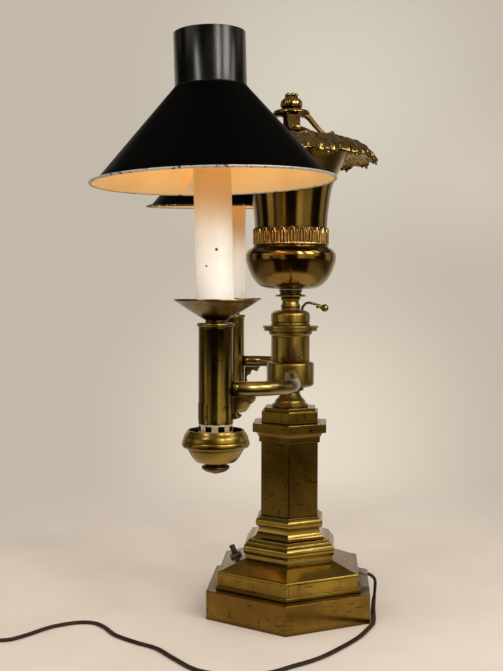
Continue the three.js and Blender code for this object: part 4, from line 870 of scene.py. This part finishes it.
# Shades. A spun steel cone with a chimney, black satin outside and cream inside, with a faint painted glow.
# The rolled edge has lost its paint. It hangs on a three-strap spider that rests on the candle's top.
shade_foot = -28.2
cone_top = shade_foot + 82.9
chimney_top = cone_top + 46.6
rolled_edge = 105.2
strap_count = 3
strap_turn = 76
strap_half = 4
strap_root = Vector((17, 0, 1))
strap_end = Vector((96.4, 0, shade_foot + 5.0))


def black_colour(g):
    worn = g.noise(120, 4, 0.6).between(0.6, 0.8) * 0.4
    return worn.mix(tone(2, 2, 2), tone(9, 8, 7))


black_satin = finish_of(
    "black_satin", 0.0, black_colour, lambda g: g.noise(40, 4, 0.6) * 0.16 + 0.3,
    lambda g: g.noise(500, 3) + g.noise(30, 2) * 2, 0.00006, **{"Specular IOR Level": 0.025},
)
black_gloss = finish_of(
    "black_gloss", 0.0, black_colour, lambda g: g.noise(60, 4, 0.6) * 0.14 + 0.16,
    lambda g: g.noise(300, 3, 0.5, (1, 1, 0.1)), 0.00004, **{"Specular IOR Level": 0.45},
)
# The cream inside gives off a faint warm light of its own: a painted glow, though the shade is no lamp.
cream_inside_glowing = clouded(
    "cream_inside_glowing", 0.0, (238, 204, 142), (228, 188, 122), (20, 4), (80, 3, 0.2, 0.45), (300, 3, 0.0001),
    (0.3, 0.75), **{"Emission Color": tone(240, 186, 112), "Emission Strength": 0.2},
)
worn_edges = {
    side: clouded(
        f"{side}_worn_edge", metallic, (196, 190, 176), (62, 57, 48), (160, 4, 0.7), (300, 3, 0.3, 0.3),
        (400, 3, 0.0003), (bare - 0.04, bare + 0.04),
    )
    for side, bare, metallic in (("right", 0.58, 0.5), ("left", 0.42, 0.3))
}
# The straps are given a pale cream, not metal: painted light for the bulb's light falling on them.
pale_lit_strap = clouded(
    "pale_lit_strap", 0.0, (252, 236, 196), (236, 208, 152), (90, 3), (300, 3, 0.2, 0.35), (500, 2, 0.00008)
)
shade_outline = [
    *arc((106.6, shade_foot + 1.5), (1.5, 1.5), -180, 20, 8), (100.4, shade_foot + 4.1),
    *flowing([(100.1, shade_foot + 4.5), (65.9, shade_foot + 43.7), (32.2, cone_top - 0.6)], 6),
    (31.4, cone_top + 0.8), (31.4, chimney_top - 0.6),
    *arc((30.9, chimney_top - 0.5), (0.5, 0.5), 0, 180, 4), (30.4, cone_top - 0.4),
    *flowing([(31, cone_top - 1.6), (65, shade_foot + 42.8), (99.3, shade_foot + 3.6)], 6),
]
rivet_outline = [(0, -1.2), (1.7, -1.2), (1.7, -0.6), *arc((0, -0.6), (1.7, 1.2), -90, -30, 4), (0, -0.5)]
for side, length, _, shift, crooked in candles:
    seat = shifted(0, shift, length + 0.3 + candle_radius * sin(crooked))
    hung = leanings[side] @ seat @ Matrix.Rotation(crooked, 4, "Y")
    shade_shape = turned(shade_outline, 160)
    for face in shade_shape.faces:
        middle = face.calc_center_median()
        outward = face.normal.dot(Vector((middle.x, middle.y, 0)).normalized())
        if middle.z / mm - shade_foot < 1.9 and middle.xy.length > rolled_edge * mm:
            face.material_index = 2
        elif outward < -0.2:
            face.material_index = 1
        elif middle.z / mm > cone_top:
            face.material_index = 3
    shade_shape = moved(shade_shape, hung)
    paints = [black_satin, cream_inside_glowing, worn_edges[side], black_gloss]
    body = f"{side}_shade_set"
    finished(f"{side}_cone_shade", shade_shape, paints, [f"{side}_shade"], body=body, slot="black_paint")

    spider = turned([(15.4, 0), (18.8, 0), (18.8, 2), (15.4, 2)], 64)
    run = strap_end - strap_root
    slope = shifted(*strap_root) @ Matrix.Rotation(atan2(-run.z, run.x), 4, "Y")
    for k in range(strap_count):
        rivet = turned(rivet_outline, 16, 0, shifted(run.length - strap_half, 0, 0))
        strap = together(bar((0, -strap_half, -0.6), (run.length, strap_half, 0.6)), rivet)
        turn = Matrix.Rotation(radians(strap_turn + 360 / strap_count * k), 4, "Z")
        spider = together(spider, moved(strap, turn @ slope))
    spider = moved(spider, hung)
    finished(f"{side}_spider", spider, [pale_lit_strap], [f"{side}_shade_spider"], 0.25, body, "steel")

# Drip cups. A turned brass cup grips the foot of each gallery and catches spilled oil. A bronze button holds
# it from below.
cup_brass = aged_brass("cup_brass", (0.33, 0.225, 0.032), (0.20, 0.125, 0.016), 0.3, 30, True)
cup_outline = [
    (2.6, 189.1), (17.2, 189.1), (18, 189.7),
    *flowing([(18.4, 190.2), (21.2, 193.6), (24.9, 200.3)], 4), (25.2, 201.3), (28, 202.1),
    *arc((28.4, 205.2), (1.5, 3), -70, 88, 8), (29, 208.3),
    *flowing([(28.9, 209), (27.9, 212.4), (25.8, 215.4), (24.9, 217.2)], 4), (23.6, 217.2),
    *flowing([(26.6, 212.1), (27.8, 208.8), (27.3, 206.5), (24.2, 203.4), (19.8, 194.2)], 4),
    (16.8, 191.6), (16.8, 206.2), (15.3, 206.2), (15.3, 191.6), (2.6, 191.6),
]
button_outline = [
    (0, 178), *flowing([(0.8, 178.1), (3.8, 178.9), (9.2, 180.7), (12, 182.9)], 4),
    *arc((11.4, 184.2), (1, 1.3), -50, 90, 5), (9.6, 185.7), (9.3, 186.2), (9.3, 188.8), (2.3, 188.8),
    (2.3, 191), (0, 191),
]
for side, stand in burner_stands.items():
    body = f"{side}_cup_set"
    turning(f"{side}_turned_cup", f"{side}_drip_cup", cup_outline, cup_brass, 0.2, place=stand, body=body)
    button_fit = {"body": body, "slot": "brown_bronze"}
    turning(f"{side}_button", f"{side}_cup_finial", button_outline, bronze, 0.2, 64, stand, **button_fit)

# Font. Dome, neck, bowl and flaring vase are turned in brass and screwed together in one line. They lift out
# on a spigot. Bowl and vase have kept their polish.
font_brass = aged_brass(
    "font_brass", (0.25, 0.15, 0.026), (0.17, 0.092, 0.013), 0.15, 14, True, dirt_and_shade=1.2, depth=0.00005
)
dome_outline = [
    (0, 303.6), (20.8, 303.6), (20.8, 305.4), (20, 306), (20, 307), (20.8, 307.6), (20.8, 314.6),
    *arc((11, 314.6), (9.8, 5.6), 0, 90, 8), (0, 320.2),
]
spigot_outline = [(15.1, 253.3), (16.6, 253.3), (16.6, 303.3), (15.1, 303.3)]
neck_outline = [
    (4, 320.5), (10.4, 320.5), (10.4, 321.4), (9.6, 322.6), *arc((9.6, 324.2), (1, 1.4), -90, 90, 6),
    *flowing([(9.4, 326.4), (8.9, 329), (9.4, 330.4)], 4), *arc((9.6, 331.9), (1, 1.1), -90, 90, 6),
    (10.2, 333.6), (16.2, 334.4), (16.6, 335.1), (16.2, 335.8),
    *flowing([(12.6, 336.6), (11.2, 337.4), (11.4, 338.8), (12.2, 340), (12.4, 341.8)], 4), (4, 341.8),
]
bowl_side = [
    (13.2, 342.1), (25, 343), (34.2, 347.2), (41.8, 356.5), (46.6, 368.1), (48.1, 375), (47.2, 380.6),
    (43.6, 384.7),
]
bowl_outline = [
    (4, 342.1), (12.9, 342.1), *flowing(bowl_side, 7), (40.2, 385.4),
    *arc((39, 386.6), (1.2, 1.2), -60, 90, 6), (37.4, 388), (37.4, 388.5), (36.4, 388.5), (36.4, 386),
    (44.4, 377), (44.4, 372), (36, 352), (24, 345), (4, 343.7),
]
vase_side = [
    (38.4, 407), (39.2, 420.1), (41.3, 436.8), (43.6, 449.3), (46.6, 457.6), (50.7, 466.5), (54, 473.3),
    (57.1, 479.5), (61.2, 485.8), (66.3, 492.8),
]
vase_outline = [
    (37.9, 388.8), (38.1, 400.3), *flowing(vase_side, 6), (66.5, 493.1), (64.6, 493.1),
    *flowing([(59.2, 485.8), (52, 473.3), (44.6, 457.6), (39.4, 436.8), (36.4, 407), (36, 388.8)], 4),
]
for name, node, outline, material, ease in (
    ("dome_turning", "font_dome", dome_outline, turned_brass, 0.3),
    ("spigot_tube", "font_spigot", spigot_outline, turned_brass, 0.2),
    ("neck_turning", "font_neck", neck_outline, turned_brass, 0.15),
    ("bowl_turning", "font_bowl", bowl_outline, font_brass, 0.15),
    ("vase_turning", "font_vase", vase_outline, font_brass, 0.2),
):
    turning(name, node, outline, material, ease, 128, body="font")

# Leaf band. A cast brass frieze of twenty-four upright leaves with darts between them, gilded, round the
# vase's foot.
leaf_count = 24
leaf_steps = 22
band_foot = 388.8
band_height = 17.8
band_inner = 38.55
band_rows = 22
fine = {"depth": 0.00005, "reach": 0.0025}
gilt = aged_brass("gilt_brass", (0.86, 0.54, 0.16), (0.60, 0.30, 0.06), 0.3, 120, dirt_and_shade=2.6, **fine)
gilt_shaded_gap = aged_brass("gilt_shaded_gap", (0.14, 0.055, 0.012), (0.07, 0.028, 0.008), 0.4, 120, dirt_and_shade=2.0, **fine)


def ridge(distance, width):
    """A rounded ridge: 1 on its line, and gone a few widths away."""
    return exp(-((distance / width) ** 2))


def across_repeat(vert, count):
    """How far a point is across the one of so many equal parts that it is in, -0.5 to 0.5."""
    return (atan2(vert.co.y, vert.co.x) / (2 * pi) * count + 0.5) % 1 - 0.5


band_outline = [(band_inner, band_foot), (band_inner + 1.2, band_foot)]
band_outline += [(band_inner + 1, band_foot + band_height * row / band_rows) for row in range(band_rows + 1)]
band_outline.append((band_inner, band_foot + band_height))
band_shape = turned(band_outline, leaf_count * leaf_steps)
for vert in band_shape.verts:
    radius = vert.co.xy.length / mm
    if radius < band_inner + 0.5:
        continue
    across = across_repeat(vert, leaf_count)
    height = (vert.co.z / mm - band_foot) / band_height
    away = abs(across)
    edge = 0.4 * sqrt(max(0, 1 - max(0, (height - 0.5) / 0.5) ** 2)) if height < 1 else 0
    relief = 1.1
    if height > 0.06:
        relief = 1.3 * ridge(away - edge + 0.07, 0.06) + (0.15 if away < edge else 0)
        relief += 1.1 * ridge(away, 0.09) * (0.12 < height < 0.8 - away)
        relief += 1.2 * ridge(away - 0.5, 0.05) * (height < 0.86)
    cut_down = 2.2 * (1 - abs(cos(pi * across))) * height
    scale = (band_inner + 0.3 + min(relief, 1.3)) / radius
    vert.co = (vert.co.x * scale, vert.co.y * scale, vert.co.z - cut_down * mm)
# The faces deep between the leaves get a dark gilt: painted shade in the gaps.
for face in band_shape.faces:
    if band_inner + 0.1 < face.calc_center_median().xy.length / mm < band_inner + 0.72:
        face.material_index = 1
finished("leaf_frieze", band_shape, [gilt, gilt_shaded_gap], ["leaf_band"], body="font", slot="gilt_brass")

# Leaf rim. Sixteen leaves, cast in brass in one ring, turn down round the vase's mouth. Each has a rib, side
# veins and a cut edge, and small berries hang from the tips.
rim_leaves = 16
rim_steps = 36
rim_top = [(39.1, 500.6), (42.8, 502), (56.4, 499.5), (68.3, 496.2), (80.1, 489.8), (87.4, 484), (91, 478.5)]
rim_under = [(90.1, 475.9), (86.5, 481.4), (79.2, 487.2), (67.4, 493.6), (55.5, 496.9)]
rim_leaf_start = 44
rim_curl_start = 66
rim_end = 91
berries = [(0, 89.6, 475.4, 1.5), (0.16, 87.4, 476.6, 1.15), (-0.16, 87.4, 476.6, 1.15)]
cast_brass = aged_brass(
    "cast_brass", (0.46, 0.31, 0.08), (0.24, 0.14, 0.03), 0.18, 90, dirt_and_shade=3.0, depth=0.00006, reach=0.004
)
rim_line = [(34, 499.6), (38.6, 499.6), *flowing(rim_top, 6), *flowing(rim_under, 2), (42.8, 497), (34, 497)]
rim_shape = turned(rim_line, rim_leaves * rim_steps)
rim_shape.normal_update()
for vert in rim_shape.verts:
    radius = vert.co.xy.length / mm
    across = across_repeat(vert, rim_leaves)
    away = abs(across)
    out = max(0, (radius - rim_curl_start) / (rim_end - rim_curl_start))
    run = max(0, (radius - rim_leaf_start) / (rim_end - rim_leaf_start))
    between = out * (1 - abs(cos(pi * across)))
    notched = 4.5 * between + 1.4 * out * out * abs(sin(pi * away * 4))
    lifted = 3 * between * out
    relief = 0
    if vert.normal.z > -0.1 and radius > rim_leaf_start - 1:
        lobe = abs(sin(pi * (away * 3 + 0.3 * sin(7 * run))))
        veins = cos(2 * pi * (run * 5 - away * 3))
        relief = 1.6 * sqrt(lobe) + 0.4 * veins - 1.5
        relief += 1.2 * ridge(away, 0.05) - 1.5 * ridge(away - 0.5, 0.05) * min(1, run * 3)
    scale = (radius - notched) / radius
    raised = vert.normal * relief * mm
    vert.co = (vert.co.x * scale + raised.x, vert.co.y * scale + raised.y, vert.co.z + lifted * mm + raised.z)


def ball(middle, size, tall=1):
    """A small cast ball at a place in millimetres."""
    shape = bmesh.new()
    bmesh.ops.create_icosphere(shape, subdivisions=2, radius=size * mm)
    bmesh.ops.scale(shape, vec=(1, 1, tall), verts=shape.verts)
    return moved(shape, shifted(*middle))


for leaf in range(rim_leaves):
    for aside, berry_reach, drop, size in berries:
        middle = polar(berry_reach, 2 * pi * (leaf + aside) / rim_leaves, drop)
        rim_shape = together(rim_shape, ball(middle, size, 1.35))
finished("leaf_rim_casting", rim_shape, [cast_brass], ["leaf_rim"], body="font")

# Lid and crown. A domed lid lies inside the rim. Four scroll brackets rise over it to a drooping disc, and a
# budded finial stands on the disc.
lid_outline = [
    (0, 499.9), (38.4, 499.9), (38.4, 501.2), (37.6, 501.9),
    *flowing([(36.8, 501.6), (32.4, 503.4), (23.9, 508), (13.2, 513), (0, 514.9)], 6),
]
turning("domed_lid", "font_lid", lid_outline, turned_brass, 0.2, body="font")
scroll_count = 4
scroll_turn = 5
scroll_line = flowing([
    (43.6, 505.2), (45.4, 503.9), (44.6, 503.8), (41, 503.8), (37.4, 504.5), (32, 508.5), (25.7, 514.7),
    (17.6, 524.1), (11.3, 526.6), (6, 526.8),
], 5)
scroll_section = [
    (-5.6, -1.3), (-5.6, 1.6), (-4.2, 1.9), (-2.8, 1), (0, 0.7), (2.8, 1), (4.2, 1.9), (5.6, 1.6),
    (5.6, -1.3), (0, -1.9),
]
scroll_sizes = [0.62 + 0.95 * (i / len(scroll_line)) ** 1.5 for i in range(len(scroll_line))]
curl_outline = [(0, -4.6), (2.1, -4.6), *arc((2.1, 0), (1.1, 4.6), -90, 90, 8), (0, 4.6)]
curl_reach = 43.2
curl_height = 506.4
crown_parts = []
for k in range(scroll_count):
    angle = radians(scroll_turn + 360 / scroll_count * k)
    route = [polar(reach, angle, height) for reach, height in scroll_line]
    crown_parts.append(swept(route, scroll_section, scroll_sizes, polar(1, angle - pi / 2)))
    foot = shifted(*polar(curl_reach, angle, curl_height))
    laid = foot @ Matrix.Rotation(angle, 4, "Z") @ Matrix.Rotation(pi / 2, 4, "X")
    crown_parts.append(turned(curl_outline, 20, 0, laid))
disc_edge = [(10, 525.3), (16.9, 525.9), (19.2, 526.5), (19.6, 527.9), (17.6, 530), (12.2, 531.4)]
disc_outline = [(0, 522.6), (9.6, 523.8), *flowing(disc_edge, 4), (11.6, 531.7), (0, 531.7)]
crown_parts.append(turned(disc_outline, 64))
finished("scroll_crown", together(*crown_parts), [cast_brass], ["crown"], 0.3, "font", "dark_brass")

bud_lobes = 8
bud_knobs = 6
knob_reach = 5
knob_height = 546.5
knob_radius = 2.3
bud_side = [(8.6, 532), (11, 534), (11.8, 537), (10.6, 540.6), (7.4, 543.6), (6, 545.4)]
bud_shape = turned([(0, 532), *flowing(bud_side, 5), (0, 545.8)], bud_lobes * 12)
for vert in bud_shape.verts:
    groove = 0.07 * ridge(abs(across_repeat(vert, bud_lobes)) - 0.5, 0.12)
    vert.co = (vert.co.x * (1 - groove), vert.co.y * (1 - groove), vert.co.z)
for k in range(bud_knobs):
    middle = polar(knob_reach, 2 * pi * (k + 0.25) / bud_knobs, knob_height)
    bud_shape = together(bud_shape, ball(middle, knob_radius))
finished("budded_finial", bud_shape, [cast_brass], ["bud_finial"], body="font", slot="dark_brass")

# Valve rod. A bent brass rod comes up through the dome and ends in a collar and a ball. It lifts the oil
# valve.
rod_line = flowing([
    (0, 12.4, 304.6), (0, 12.4, 310), (0, 12.4, 315), (0, 12.4, 320), (0, 13.2, 323.5), (0, 17.7, 327.6),
    (0, 25.7, 326.5), (0, 34.4, 323.5),
], 6)
knob_outline = [
    (0, -9.2), (1.6, -9.2), (2.4, -8.6), (2.4, -7), (1.6, -6.4), (1.5, -5), (2.3, -4.6), (2.3, -4),
    (1.6, -3.6), *arc((0, 0), (4.1, 4.1), -62, 90, 14),
]
knob_tilt = shifted(0, 36.4, 322.2) @ Matrix.Rotation(radians(-104), 4, "X")
valve_rod = swept(rod_line, circle(1.4, 12), None, Vector((1, 0, 0)), 2.0)
valve_shape = together(valve_rod, turned(knob_outline, 40, 0, knob_tilt))
finished("valve_lifter", valve_shape, [arm_brass], ["valve_rod"], body="valve")

# Switch and bushing. A push switch under the sloping top of the base, with its hexagon nut and a ribbed
# button, and a grey-brown plastic bushing where the flex comes out at the back.
dark_button = clouded("dark_button", 0.6, (66, 52, 34), (34, 26, 18), (200,), (300, 2, 0.2, 0.35))
washer_grey = clouded("washer_grey", 0.5, (110, 92, 84), (80, 64, 60), (200,), (300, 2, 0.2, 0.4))
bushing_grey = clouded("bushing_grey", 0.0, (128, 112, 98), (100, 86, 74), (150,), (300, 2, 0.2, 0.5))
eased("hexagon_nut", "switch_nut", washer_grey, 0.4, slot="steel")
refinished("switch_body", flex)
eased("push_button", "switch_button", dark_button, 0.5, body="button", slot="dark_brass", crease=40)
eased("flex_bushing", "cord_gland", bushing_grey, 0.3, slot="grey_plastic", crease=40)
